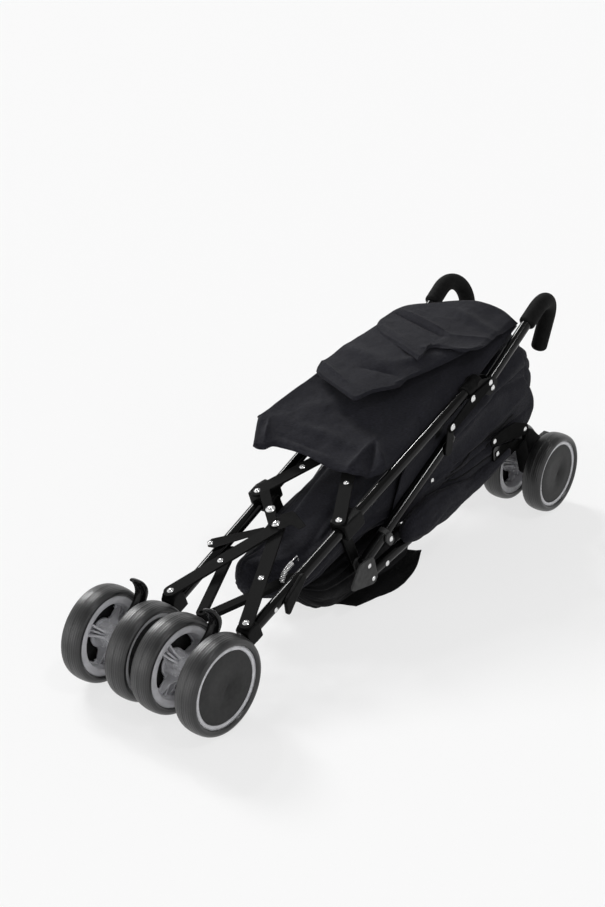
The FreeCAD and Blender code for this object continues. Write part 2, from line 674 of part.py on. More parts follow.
def rear_bracket(name, place):
    """The housing that carries the rear axle between its two wheels."""
    body = new_body(f"rear_bracket_{name}", place)
    pin = (size("leg_pivot_y"), size("leg_pivot_z"))
    axle = (size("rear_axle_y"), size("wheel_radius"))
    dome = (axle[0] + size("dome_y"), axle[1] + size("dome_z"))
    end = polar(pin, size("leg_rise"), size("leg_length"))
    wall = size("tube_radius") + size("joint_wall")
    pad(body, "YZ_Plane", hull([(*axle, size("rear_boss")), (*dome, size("dome_radius")), (*end, wall)]), "rear_width")
    rod(body, "Subtractive", "tube_radius", "leg_length", (0, *pin), (0, math.cos(turn("leg_rise")), math.sin(turn("leg_rise"))))
    bore = "axle_radius + running_clearance"
    rod(body, "Subtractive", bore, "rear_width", (-size("rear_width") / 2, *axle), (1, 0, 0))
    room = size("dome_radius") + size("side_gap")
    end_room = size("pedal_thickness") / 2 + size("side_gap")
    swept = [(*dome, room), (*polar(dome, 0, size("pedal_reach")), end_room),
             (*polar(dome, size("pedal_swing"), size("pedal_reach")), end_room)]
    pocket(body, "YZ_Plane", hull(swept), "pedal_width - 2 * cheek_thickness + 2 * side_gap")
    return keep(body)


def brake_pedal(name, place):
    body = new_body(f"brake_pedal_{name}", place)
    axle = (size("rear_axle_y"), size("wheel_radius"))
    dome = (axle[0] + size("dome_y"), axle[1] + size("dome_z"))
    tip = polar(dome, size("pedal_swing"), size("pedal_reach"))
    half = size("pedal_thickness") / 2
    pad(body, "YZ_Plane", hull([(*dome, size("dome_radius") - size("side_gap")), (*tip, half)]),
        "pedal_width - 2 * cheek_thickness")
    return keep(body)


for name, side in SIDES:
    place = side_place(side)
    level = "brace_high_level" if side < 0 else "brace_low_level"
    front_socket(name, place)
    front_fork(name, place)
    toe_lever(name, place)
    main_tube(name, place)
    lower_bracket(name, place, level)
    collar(name, place, side, level)
    pivot_plate(name, place)
    strut(name, place)
    strut_clamp(name, place)
    fold_link(name, place, side)
    handle_joint(name, place)
    handle_tube(name, side)
    handle_grip(name, side)
    rear_leg(name, place, side)
    rear_bracket(name, place)
    brake_pedal(name, place)


# Flat bars that fold in the plane above the tubes
BRACE_NORMAL = Vector(0, -RISE[1], RISE[0])


def bar_place(start, end, normal):
    along = (end - start).normalize()
    return Placement(start, Rotation(along, normal.cross(along), normal, "ZXY"))


def brace_ends(side, pivot, reach, level):
    """The bar's pivot over its tube and the point on the middle plane where the pair meets."""
    y, z = on_tube(size(pivot), size(level))
    start = side_place(side).multVec(Vector(0, y, z))
    run = size(reach)
    end = Vector(0, start.y + run * RISE[0], start.z + run * RISE[1])
    return start, end


def brace_bar(label, side, pivot, reach, level):
    start, end = brace_ends(side, pivot, reach, level)
    body = new_body(label, bar_place(start, end, BRACE_NORMAL))
    length = (end - start).Length
    half = size("brace_width") / 2
    edges = hull([(0, 0, half), (length, 0, half)])
    holes = ring(0, 0, size("rivet_radius")) + ring(length, 0, size("rivet_radius"))
    pad(body, "XY_Plane", edges + holes, "brace_thickness", 0, False)
    return keep(body)


def cross_bar(label, side):
    """Half of the folding cross brace, pinned at the tube's inner face."""
    pin = Vector(-side * (size("tube_radius") + size("side_gap") + size("cross_width") / 2),
                 size("cross_pivot_y"), size("cross_pivot_z"))
    start = side_place(side).multVec(pin)
    end = Vector(0, size("cross_centre_y") - ORIGIN_Y, size("cross_centre_z"))
    flat = Vector(0, start.y - end.y, start.z - end.z).normalize()
    normal = Vector(0, -flat.z, flat.y)
    body = new_body(label, bar_place(start, end, normal))
    length = (end - start).Length
    half = size("cross_width") / 2
    gap = size("side_gap") / 2
    level = gap if side < 0 else -gap - size("cross_thickness")
    edges = hull([(0, 0, half), (length, 0, half)])
    pad(body, "XY_Plane", edges + ring(length, 0, size("rivet_radius")), "cross_thickness", level, False)
    return keep(body)


for name, side in SIDES:
    level = "brace_high_level" if side < 0 else "brace_low_level"
    brace_bar(f"lower_brace_{name}", side, "lower_pivot", "lower_reach", level)
    brace_bar(f"upper_brace_{name}", side, "upper_pivot", "upper_reach", level)
    cross_bar(f"cross_bar_{name}", side)


# Corners of the centre plate, as shares of its reach from its bolt
PLATE_SHARES = [(-0.3, -0.45), (1, 0.36), (-0.15, 0.75)]


def centre_plate():
    """The three-cornered plate on the left bar where the lower pair meets."""
    start, end = brace_ends(-1, "lower_pivot", "lower_reach", "brace_high_level")
    lift = BRACE_NORMAL * size("brace_thickness")
    place = Placement(end + lift, Rotation(Vector(1, 0, 0), BRACE_NORMAL.cross(Vector(1, 0, 0)), BRACE_NORMAL, "ZXY"))
    body = new_body("centre_plate", place)
    reach = size("plate_reach")
    radius = size("plate_radius")
    corners = [(x * reach, y * reach, radius) for x, y in PLATE_SHARES]
    pad(body, "XY_Plane", hull(corners) + ring(0, 0, size("rivet_radius")), "plate_thickness", 0, False)
    return keep(body)


centre_plate()


def storage_hook():
    """The hook on the right tube that keeps the folded stroller shut."""
    body = new_body("storage_hook", side_place(1))
    pin = on_tube(size("hook_pin_u"), size("tube_radius"))
    heel = on_tube(size("hook_pin_u") - size("hook_length"), -size("tube_radius") / 2)
    toe = on_tube(size("hook_pin_u") - size("hook_nose"), -size("tube_radius") * 2)
    level = size("tube_radius") + size("side_gap")
    radius = size("plate_radius")
    pad(body, "YZ_Plane", hull([(*toe, radius / 2), (*pin, size("link_radius")), (*heel, radius)]), "hook_thickness", level, False)
    return keep(body)


def hook_spring():
    """A bent leaf spring beside the storage hook."""
    body = new_body("hook_spring", side_place(1))
    pin = on_tube(size("hook_pin_u"), size("tube_radius"))
    centre = (pin[0], pin[1] - size("spring_radius") / 2)
    outer = size("spring_radius")
    inner = outer - size("spring_thickness")
    first, last = turn("spring_start"), turn("spring_end")
    middle = Vector(*centre, 0)

    def at(radius, angle):
        return middle + Vector(radius * math.cos(angle), radius * math.sin(angle), 0)

    edges = [Part.ArcOfCircle(Part.Circle(middle, Vector(0, 0, 1), outer), first, last),
             Part.LineSegment(at(outer, last), at(inner, last)),
             Part.ArcOfCircle(Part.Circle(middle, Vector(0, 0, 1), inner), first, last),
             Part.LineSegment(at(inner, first), at(outer, first))]
    level = size("tube_radius") + size("side_gap") + size("hook_thickness")
    pad(body, "YZ_Plane", edges, "spring_width", level, False)
    return keep(body)


storage_hook()
hook_spring()

# Folded cloth: closed lofts through sections of straight folds
def cloth(label, sections):
    wires = [Part.makePolygon([Vector(*p) for p in points + points[:1]]) for points in sections]
    feature = doc.addObject("Part::Feature", label)
    feature.Label = label
    feature.Shape = Part.makeLoft(wires, True, True)
    feature.Placement = Placement(Vector(0, -ORIGIN_Y, 0), Rotation())
    return keep(feature)


# Across the canopy's top: shares of its reach and of its height from its right edge to its crown
CANOPY_TOP_SHARES = [(-0.93, 0.66), (-1, 0.8), (-0.92, 0.95), (-0.66, 1), (-0.3, 0.9), (0.05, 0.78),
                     (0.35, 0.66), (0.6, 0.56), (0.82, 0.34), (1, 0.1)]
# Across its underside: share of its reach, of its level and, where its end closes, of its height
CANOPY_FLOOR_SHARES = [(0.84, 0.1, 0.26), (0.66, 1, 0.46), (0.3, 1, 0.6), (-0.3, 1, 0.82), (-0.7, 1, 0.9),
                       (-0.88, 1, 0.8)]
# Along the canopy: shares of its length, left reach and crown, and how far it is closed
CANOPY_RUN_SHARES = [(0, 0.86, 0.86, 0.85), (0.08, 0.9, 0.97, 0), (0.35, 1, 1, 0), (0.62, 0.9, 0.94, 0),
                     (0.82, 0.68, 0.83, 0), (0.94, 0.5, 0.69, 0), (1, 0.36, 0.55, 0.7)]
CANOPY_SLANT_SHARE = 0.45


def canopy():
    """The folded canopy: a crown over the left tube that slopes down to the inside of the right one."""
    sections = []
    low = -size("canopy_sink")
    housing = size("tube_radius") + size("joint_wall") + size("side_gap")
    for along, left, high, closed in CANOPY_RUN_SHARES:
        middle = size("canopy_front") + along * size("canopy_length")
        right = size("side_offset") + middle * math.sin(turn("splay")) - housing
        rise = high * size("canopy_height") - low
        edge = [(across, low + up * rise) for across, up in CANOPY_TOP_SHARES]
        for across, level, up in CANOPY_FLOOR_SHARES:
            under = min(level * (size("canopy_floor") - low), up * rise)
            edge.append((across, low + under + closed * (up * rise - under)))
        points = []
        for across, above in edge:
            x = across * (size("canopy_left") * left if across < 0 else right)
            y = middle + CANOPY_SLANT_SHARE * x
            u = (y - size("anchor_y") + above * RISE[1]) / RISE[0]
            points.append((x, *on_tube(u, above)))
        sections.append(points)
    return cloth("canopy", sections)


def bundle(label, front, length, half, levels, folds, runs):
    """A bundle of folded cloth: runs hold shares of length, half width, floor and top."""
    sections = []
    for along, wide, low, high in runs:
        y = size(front) + along * size(length)
        floor, top = levels(y, low, high)
        points = [(across * wide * size(half), y, floor + up * (top - floor)) for across, up in folds]
        sections.append(points)
    return cloth(label, sections)


def seat_levels(y, low, high):
    """The seat hangs from the tubes' plane and ends above the floor."""
    plane = size("anchor_z") + (y - size("anchor_y")) * RISE[1] / RISE[0]
    return low * size("seat_floor"), plane - high * size("seat_sag")


def basket_levels(y, low, high):
    return low * size("basket_height"), high * size("basket_height")


SEAT_FOLD_SHARES = [(-1, 0.35), (-0.8, 0.08), (-0.4, 0.18), (-0.1, 0), (0.3, 0.15), (0.7, 0.03), (1, 0.3),
                    (0.92, 0.8), (0.5, 0.97), (0, 0.86), (-0.5, 1), (-0.95, 0.85)]
SEAT_RUN_SHARES = [(0, 0.44, 1.05, 0.16), (0.09, 0.68, 1.05, 0.23), (0.23, 0.75, 1, 0.29), (0.44, 0.8, 1.04, 0.2),
                   (0.65, 0.87, 1.22, 0.26), (0.8, 1.05, 1.6, 0.62), (0.945, 1.08, 1.65, 1), (1, 0.75, 1.96, 1.8)]
BASKET_FOLD_SHARES = [(-1, 0.5), (-0.85, 0.12), (-0.4, 0), (0.1, 0.06), (0.5, 0), (0.9, 0.14), (1, 0.5),
                      (0.95, 0.95), (0.3, 0.88), (-0.3, 1), (-0.95, 0.92)]
BASKET_RUN_SHARES = [(0, 0.62, 0.18, 0.65), (0.12, 0.9, 0.055, 0.91), (0.45, 1, 0.033, 1),
                     (0.82, 0.97, 0.044, 1), (1, 0.62, 0.22, 0.91)]

canopy()
bundle("seat_fabric", "seat_front", "seat_length", "seat_half", seat_levels, SEAT_FOLD_SHARES, SEAT_RUN_SHARES)
bundle("basket", "basket_front", "basket_length", "basket_half", basket_levels, BASKET_FOLD_SHARES,
       BASKET_RUN_SHARES)

doc.recompute()
for thing in doc.Objects:
    if "Invalid" in thing.State or "Error" in thing.State:
        raise RuntimeError(f"{thing.Label} failed: {thing.State}")
for node in NODES:
    if node.Shape.isNull() or not node.Shape.isValid():
        raise RuntimeError(f"{node.Label} has no valid shape")
whole = FreeCAD.BoundBox()
for node in NODES:
    whole.add(node.Shape.BoundBox)
    node.Shape.exportStep(f"parts/{node.Label}.step")
print(len(NODES), "nodes, box", whole)
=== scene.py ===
import json
import math

import bmesh
import bpy
from mathutils import Matrix, Vector, noise

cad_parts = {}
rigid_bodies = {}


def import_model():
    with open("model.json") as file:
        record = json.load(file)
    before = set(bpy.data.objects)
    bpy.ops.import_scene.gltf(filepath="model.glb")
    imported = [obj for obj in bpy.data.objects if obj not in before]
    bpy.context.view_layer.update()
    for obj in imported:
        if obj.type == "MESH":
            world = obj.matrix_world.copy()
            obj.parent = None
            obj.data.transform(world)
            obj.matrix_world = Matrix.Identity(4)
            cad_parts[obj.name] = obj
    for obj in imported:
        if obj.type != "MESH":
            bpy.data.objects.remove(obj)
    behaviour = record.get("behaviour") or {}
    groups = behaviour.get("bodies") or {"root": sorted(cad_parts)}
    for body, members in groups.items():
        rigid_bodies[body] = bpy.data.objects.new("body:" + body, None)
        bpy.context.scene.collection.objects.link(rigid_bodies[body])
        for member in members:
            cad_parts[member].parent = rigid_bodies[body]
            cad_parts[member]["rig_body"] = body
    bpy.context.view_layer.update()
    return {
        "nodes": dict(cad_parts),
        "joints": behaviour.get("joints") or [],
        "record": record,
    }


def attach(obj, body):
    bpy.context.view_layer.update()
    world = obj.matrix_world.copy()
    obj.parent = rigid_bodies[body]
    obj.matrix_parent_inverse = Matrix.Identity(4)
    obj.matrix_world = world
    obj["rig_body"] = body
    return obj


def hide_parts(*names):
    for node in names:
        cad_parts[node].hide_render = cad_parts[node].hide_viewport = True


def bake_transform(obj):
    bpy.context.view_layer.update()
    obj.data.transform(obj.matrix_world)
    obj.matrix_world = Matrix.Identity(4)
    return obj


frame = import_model()

# Lengths are in millimetres in the side frames and in the tables, and in metres in every mesh
MM = 0.001
JOINTS = {joint["name"]: joint for joint in frame["joints"]}
SIDES = (("left", -1), ("right", 1))

# The main tube's axis: a point, in y from the front axle and z from the floor, and its rise in degrees
ANCHOR = (111, 87)
TUBE_RISE = 20.4
TUBE_ENDS = (-33, 639)
TUBE_RADIUS = 9.5
STRUT_FOOT = (392, 87)
STRUT_RISE = 30
STRUT_LENGTH = 278
LEG_PIN = (404, 59)
LEG_RISE = 10.9
REAR_AXLE = (915, 75)
HANDLE_PIN = (744, 293)
HANDLE_RISE = 32
HANDLE_STRAIGHT = 178
HOOK_RADIUS = 48
HOOK_TURN = 118
HOOK_TOE = 14
HOOK_TAIL = 62
GRIP_LEAD = 36
GRIP_RADIUS = 15
# How far each wheel of a pair stands from the side frame's plane
WHEEL_T = 43

# The photograph's camera, in metres and degrees, and its focal length in pixels
EYE = Vector((1.2113, -1.7058, 1.1725))
YAW = 37.32
PITCH = 24.14
FOCAL = 1400
PHOTO = (605, 907)
SENSOR = 36


def at(side, t, y, z):
    """A place in a side frame's plane: t outward along X, y from the front axle and z from the floor."""
    spin = JOINTS[f"wheels_front_{side}_spin"]
    across = Vector(spin["axis"])
    along = Vector((-across.y, across.x, 0))
    foot = Vector(spin["pos_m"])
    foot.z = 0
    return foot + (across * t + along * y + Vector((0, 0, z))) * MM


def polar(centre, angle, reach, above=0):
    """A point at a reach from a centre along an angle in degrees, and above that line."""
    a = math.radians(angle)
    return (centre[0] + reach * math.cos(a) - above * math.sin(a),
            centre[1] + reach * math.sin(a) + above * math.cos(a))


def on_tube(u, v=0):
    return polar(ANCHOR, TUBE_RISE, u, v)


# Points of the photograph, met with planes of the frame
def look():
    yaw, pitch = math.radians(YAW), math.radians(PITCH)
    return Vector((-math.sin(yaw) * math.cos(pitch), math.cos(yaw) * math.cos(pitch), -math.sin(pitch)))


def pixel_ray(px, py):
    turn = look().to_track_quat("-Z", "Y")
    way = Vector(((px - PHOTO[0] / 2) / FOCAL, (PHOTO[1] / 2 - py) / FOCAL, -1))
    return turn @ way


TUBE_NORMAL = Vector((0, -math.sin(math.radians(TUBE_RISE)), math.cos(math.radians(TUBE_RISE))))
TUBE_WAY = Vector((0, math.cos(math.radians(TUBE_RISE)), math.sin(math.radians(TUBE_RISE))))


def over_tubes(px, py, v):
    """Where a pixel's ray meets the plane v above the tubes' plane."""
    base = at("right", 0, *on_tube(0, v))
    ray = pixel_ray(px, py)
    return EYE + ray * ((base - EYE).dot(TUBE_NORMAL) / ray.dot(TUBE_NORMAL))


def beside(px, py, t):
    """Where a pixel's ray meets the upright plane at t from the right side frame."""
    base = at("right", t, 0, 0)
    normal = Vector(JOINTS["wheels_front_right_spin"]["axis"])
    ray = pixel_ray(px, py)
    return EYE + ray * ((base - EYE).dot(normal) / ray.dot(normal))


# Materials
def new_material(label):
    made = bpy.data.materials.new(label)
    made.use_nodes = True
    tree = made.node_tree
    return made, tree, tree.nodes["Principled BSDF"]


def node(tree, kind, **values):
    """A shader node with its inputs set by name."""
    made = tree.nodes.new("ShaderNode" + kind)
    for name, value in values.items():
        made.inputs[name.replace("_", " ")].default_value = value
    return made


def noise_of(tree, source, scale, detail=3):
    made = node(tree, "TexNoise", Scale=scale, Detail=detail)
    tree.links.new(source, made.inputs["Vector"])
    return made.outputs["Fac"]


def ramp(tree, source, low, high, start=0.35, end=0.65):
    """Maps a factor to a colour between two tones."""
    made = tree.nodes.new("ShaderNodeValToRGB")
    made.color_ramp.elements[0].position = start
    made.color_ramp.elements[0].color = (*low, 1)
    made.color_ramp.elements[1].position = end
    made.color_ramp.elements[1].color = (*high, 1)
    tree.links.new(source, made.inputs["Fac"])
    return made.outputs["Color"]


def spread(tree, source, low, high):
    made = node(tree, "MapRange")
    made.inputs["To Min"].default_value = low
    made.inputs["To Max"].default_value = high
    tree.links.new(source, made.inputs["Value"])
    return made.outputs["Result"]


def math_of(tree, operation, *sources):
    """A maths node over two outputs, or over an output and a plain number."""
    made = tree.nodes.new("ShaderNodeMath")
    made.operation = operation
    for k, source in enumerate(sources):
        if isinstance(source, float):
            made.inputs[k].default_value = source
        else:
            tree.links.new(source, made.inputs[k])
    return made.outputs[0]


def relief(tree, height, strength, distance, under=None):
    made = node(tree, "Bump", Strength=strength, Distance=distance)
    tree.links.new(height, made.inputs["Height"])
    if under:
        tree.links.new(under, made.inputs["Normal"])
    return made.outputs["Normal"]


def solid_finish(label, low, high, rough, grain, bump, metal=0, gloss=0.5, wear=0):
    """Paint, plastic, rubber or steel: two tones, a rough range, fine grain and a little wear on edges."""
    made, tree, shader = new_material(label)
    place = tree.nodes.new("ShaderNodeTexCoord").outputs["Object"]
    colour = ramp(tree, noise_of(tree, place, grain / 12), low, high)
    if wear:
        edge = tree.nodes.new("ShaderNodeNewGeometry").outputs["Pointiness"]
        mix = tree.nodes.new("ShaderNodeMix")
        mix.data_type = "RGBA"
        mix.inputs["B"].default_value = (wear, wear, wear, 1)
        tree.links.new(ramp(tree, edge, (0, 0, 0), (1, 1, 1), 0.53, 0.62), mix.inputs["Factor"])
        tree.links.new(colour, mix.inputs["A"])
        colour = mix.outputs["Result"]
    tree.links.new(colour, shader.inputs["Base Color"])
    fine = noise_of(tree, place, grain, 6)
    tree.links.new(spread(tree, fine, *rough), shader.inputs["Roughness"])
    tree.links.new(relief(tree, fine, bump, 0.0004), shader.inputs["Normal"])
    shader.inputs["Metallic"].default_value = metal
    shader.inputs["Specular IOR Level"].default_value = gloss
    return made


def cloth_finish(label, low, high, pitch, bump, sheen):
    """A woven polyester: two yarn directions in the UV map, a mottled tone and soft creases."""
    made, tree, shader = new_material(label)
    coords = tree.nodes.new("ShaderNodeTexCoord")
    waves = []
    for direction in ("X", "Y"):
        wave = node(tree, "TexWave", Scale=0.314 / pitch, Distortion=0.6, Detail=1)
        wave.bands_direction = direction
        tree.links.new(coords.outputs["UV"], wave.inputs["Vector"])
        waves.append(wave.outputs["Fac"])
    weave = math_of(tree, "MULTIPLY", *waves)
    streaks = node(tree, "Mapping")
    streaks.inputs["Scale"].default_value = (160, 900, 1)
    tree.links.new(coords.outputs["UV"], streaks.inputs["Vector"])
    mottle = noise_of(tree, streaks.outputs["Vector"], 1, 4)
    tree.links.new(ramp(tree, mottle, low, high, 0.3, 0.7), shader.inputs["Base Color"])
    crumple = relief(tree, noise_of(tree, coords.outputs["Object"], 34, 5), 0.6, 0.005)
    tree.links.new(relief(tree, weave, bump, 0.0005, crumple), shader.inputs["Normal"])
    shader.inputs["Roughness"].default_value = 0.85
    shader.inputs["Sheen Weight"].default_value = sheen
    shader.inputs["Sheen Roughness"].default_value = 0.5
    shader.inputs["Specular IOR Level"].default_value = 0.12
    return made


def grey(value, blue=1.0):
    return value, value, value * blue


GLOSS = solid_finish("gloss_black_paint", grey(0.002), grey(0.004), (0.06, 0.1), 600, 0.01, gloss=0.2)
SATIN = solid_finish("satin_black_steel", grey(0.003), grey(0.005), (0.55, 0.66), 900, 0.06, gloss=0.02,
                     wear=0.008)
PLASTIC = solid_finish("black_moulded_plastic", grey(0.002), grey(0.005), (0.36, 0.5), 1400, 0.15, gloss=0.06,
                       wear=0.01)
HORN = solid_finish("glossy_lever_plastic", grey(0.0015), grey(0.003), (0.14, 0.22), 700, 0.05, gloss=0.22)
GREY = solid_finish("dark_grey_plastic", grey(0.03), grey(0.05), (0.45, 0.6), 1400, 0.12, gloss=0.15,
                    wear=0.07)
RUBBER = solid_finish("tyre_rubber", grey(0.004, 1.05), grey(0.009, 1.05), (0.28, 0.38), 1100, 0.1, gloss=0.6)
RIM_GREY = solid_finish("pale_grey_rim", grey(0.5, 1.04), grey(0.6, 1.04), (0.26, 0.36), 900, 0.05)
DISC = solid_finish("charcoal_cover", grey(0.022), grey(0.028), (0.45, 0.55), 1600, 0.08, gloss=0.15)
STEEL = solid_finish("bright_rivet_steel", grey(0.66), grey(0.8), (0.12, 0.26), 900, 0.04, metal=1)
DARK_STEEL = solid_finish("dark_axle_steel", grey(0.02), grey(0.06), (0.25, 0.4), 900, 0.05, metal=1)
FOAM = solid_finish("grip_foam", grey(0.003), grey(0.006), (0.75, 0.9), 1500, 0.5, gloss=0.1)
CHARCOAL = cloth_finish("charcoal_cloth", grey(0.0035, 1.5), grey(0.0155, 1.4), 0.0011, 0.5, 0.04)
BLACK_CLOTH = cloth_finish("basket_cloth", grey(0.0015, 1.2), grey(0.004, 1.2), 0.0011, 0.35, 0.02)


# Meshes
def placed(label, data):
    """A new object in the scene."""
    made = bpy.data.objects.new(label, data)
    bpy.context.scene.collection.objects.link(made)
    return made


def shade(thing, smooth):
    thing.data.polygons.foreach_set("use_smooth", [smooth] * len(thing.data.polygons))


def add_mesh(label, points, faces, material, uvs=None, smooth=True):
    mesh = bpy.data.meshes.new(label)
    mesh.from_pydata([tuple(p) for p in points], [], faces)
    made = placed(label, mesh)
    mesh.materials.append(material)
    shade(made, smooth)
    if uvs:
        layer = mesh.uv_layers.new(name="cloth")
        for loop in mesh.loops:
            layer.data[loop.index].uv = uvs[loop.vertex_index]
    mesh.update()
    return made


def outward(thing):
    """Turns the faces of a closed mesh outward."""
    work = bmesh.new()
    work.from_mesh(thing.data)
    bmesh.ops.recalc_face_normals(work, faces=work.faces)
    work.to_mesh(thing.data)
    work.free()
    return thing


def settle(thing):
    """Applies a piece's modifiers to its mesh."""
    graph = bpy.context.evaluated_depsgraph_get()
    mesh = bpy.data.meshes.new_from_object(thing.evaluated_get(graph))
    thing.modifiers.clear()
    thing.data = mesh
    return thing


def thicken(thing, thickness, offset):
    """Gives a surface a thickness in millimetres."""
    thick = thing.modifiers.new("thickness", "SOLIDIFY")
    thick.thickness = thickness * MM
    thick.offset = offset
    return settle(thing)


def grid(rows, label, material, closed=False, capped=False):
    """A surface through rows of points, with a UV map in metres along the cloth."""
    wide = len(rows[0])
    points = [p for row in rows for p in row]
    uvs = []
    down = 0
    for k, row in enumerate(rows):
        if k:
            down += (Vector(row[wide // 2]) - Vector(rows[k - 1][wide // 2])).length
        across = 0
        for n, p in enumerate(row):
            if n:
                across += (Vector(p) - Vector(row[n - 1])).length
            uvs.append((across, down))
    span = wide if closed else wide - 1
    faces = []
    for k in range(len(rows) - 1):
        for n in range(span):
            a, b = k * wide + n, k * wide + (n + 1) % wide
            faces.append((a, b, b + wide, a + wide))
    if capped:
        faces.append(tuple(range(wide - 1, -1, -1)))
        faces.append(tuple(range(len(points) - wide, len(points))))
    return add_mesh(label, points, faces, material, uvs)


def basis(start, way, up=Vector((0, 0, 1))):
    """A place whose Z runs along a way, with Y as near to up as it can be."""
    z = way.normalized()
    x = up.cross(z).normalized()
    y = z.cross(x)
    return Matrix.Translation(start) @ Matrix((x, y, z)).transposed().to_4x4()


def around(place, r, a, h=0):
    """A point at radius r and angle a round the Z axis of a place, h along it, in millimetres."""
    return place @ Vector((r * math.cos(a) * MM, r * math.sin(a) * MM, h * MM))


def lathe(label, place, outline, material, steps):
    """Turns a closed outline of (radius, height) in millimetres round the Z axis of a place."""
    points = [around(place, r, math.tau * k / steps, h) for k in range(steps) for r, h in outline]
    wide = len(outline)
    faces = []
    for k in range(steps):
        for n in range(wide):
            a, b = k * wide + n, k * wide + (n + 1) % wide
            c = ((k + 1) % steps) * wide
            faces.append((a, c + n, c + (n + 1) % wide, b))
    return outward(add_mesh(label, points, faces, material))


def prism(label, near, far, material):
    """A flat-sided body between two outlines of the same length."""
    n = len(near)
    faces = [tuple(range(n)), tuple(range(2 * n - 1, n - 1, -1))]
    faces += [(k, (k + 1) % n, n + (k + 1) % n, n + k) for k in range(n)]
    return outward(add_mesh(label, near + far, faces, material, smooth=False))


def curve_points(points, steps):
    """Points along a smooth curve through the given ones; a point may carry further values."""
    made = []
    last = len(points) - 1
    for k in range(steps + 1):
        f = k / steps * last
        i = min(int(f), last - 1)
        f -= i
        p0, p1, p2, p3 = points[max(i - 1, 0)], points[i], points[i + 1], points[min(i + 2, last)]
        made.append([0.5 * (2 * b + (c - a) * f + (2 * a - 5 * b + 4 * c - d) * f * f
                            + (3 * b - a - 3 * c + d) * f ** 3) for a, b, c, d in zip(p0, p1, p2, p3)])
    return made


def sweep(label, centres, sections, material, up, steps=32):
    """A closed body along centres; each section is (half width, half depth, squareness)."""
    rows = []
    for k, (centre, (wide, deep, square)) in enumerate(zip(centres, sections)):
        ahead = centres[min(k + 1, len(centres) - 1)] - centres[max(k - 1, 0)]
        place = basis(centre, ahead, up)
        row = []
        for n in range(steps):
            a = math.tau * n / steps
            c, s = math.cos(a), math.sin(a)
            row.append(place @ Vector((math.copysign(abs(c) ** square, c) * wide * MM,
                                       math.copysign(abs(s) ** square, s) * deep * MM, 0)))
        rows.append(row)
    return outward(grid(rows, label, material, closed=True, capped=True))


def pipe(label, centres, radius, material, round_start=0, round_end=0, steps=40):
    """A round bar along centres, with ends rounded over the given lengths."""
    total = sum((b - a).length for a, b in zip(centres, centres[1:])) / MM
    run = 0
    sections = []
    for k, p in enumerate(centres):
        if k:
            run += (p - centres[k - 1]).length / MM
        r = radius
        for room, ahead in ((round_start, run), (round_end, total - run)):
            if room and ahead < room:
                r = min(r, radius - room + math.sqrt(max(room ** 2 - (room - ahead) ** 2, 0)))
        sections.append((max(r, 0.2), max(r, 0.2), 1))
    return sweep(label, centres, sections, material, Vector((1, 0, 0)), steps)


def own(thing, body, slot_name, *nodes):
    """Lets a piece ride on a body and stand for its nodes, which are hidden; the slot name is not used."""
    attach(thing, body)
    if nodes:
        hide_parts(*nodes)
    return thing


def joined(label, things):
    """Several meshes as one piece."""
    work = bmesh.new()
    materials = []
    for thing in things:
        for material in thing.data.materials:
            if material not in materials:
                materials.append(material)
    for thing in things:
        mesh = thing.data
        slots = [materials.index(m) for m in mesh.materials]
        before = len(work.faces)
        work.from_mesh(mesh)
        work.faces.ensure_lookup_table()
        for face in work.faces[before:]:
            face.material_index = slots[face.material_index]
        bpy.data.objects.remove(thing)
    mesh = bpy.data.meshes.new(label)
    work.to_mesh(mesh)
    work.free()
    for material in materials:
        mesh.materials.append(material)
    return placed(label, mesh)


# Wheels
def wheel_place(side, y, t, outside):
    """A wheel's centre, with Z along its axle towards its cover side."""
    spin = JOINTS["wheels_{}_{}_spin".format("rear" if y else "front", side)]
    across = Vector(spin["axis"])
    return basis(Vector(spin["pos_m"]) + across * t * MM, across * outside)


def tyre_outline():
    """The rounded section of a tyre with its parting line and fine grooves."""
    crown = [(62.5, 15), (64, 17.4), (66.5, 18.8), (69.2, 18.4), (71.6, 16.6), (73.2, 13.6), (74.2, 10),
             (74.75, 6), (75, 2), (75, 0)]
    half = curve_points(crown, 46)
    for k, point in enumerate(half):
        if k % 5 == 3 and point[0] > 66:
            point[0] -= 0.45
    half[-1][0] -= 1
    other = [(r, -h) for r, h in reversed(half[:-1])]
    return [tuple(p) for p in half] + other


WEB_THICKNESS = 3.5
# Height along the axle and share of the hub's width
HUB_RINGS = ((5, 1), (-14, 1), (-14.6, 0.93), (-21, 0.9), (-21.6, 0.8), (-27.4, 0.78), (-27.7, 0.74))


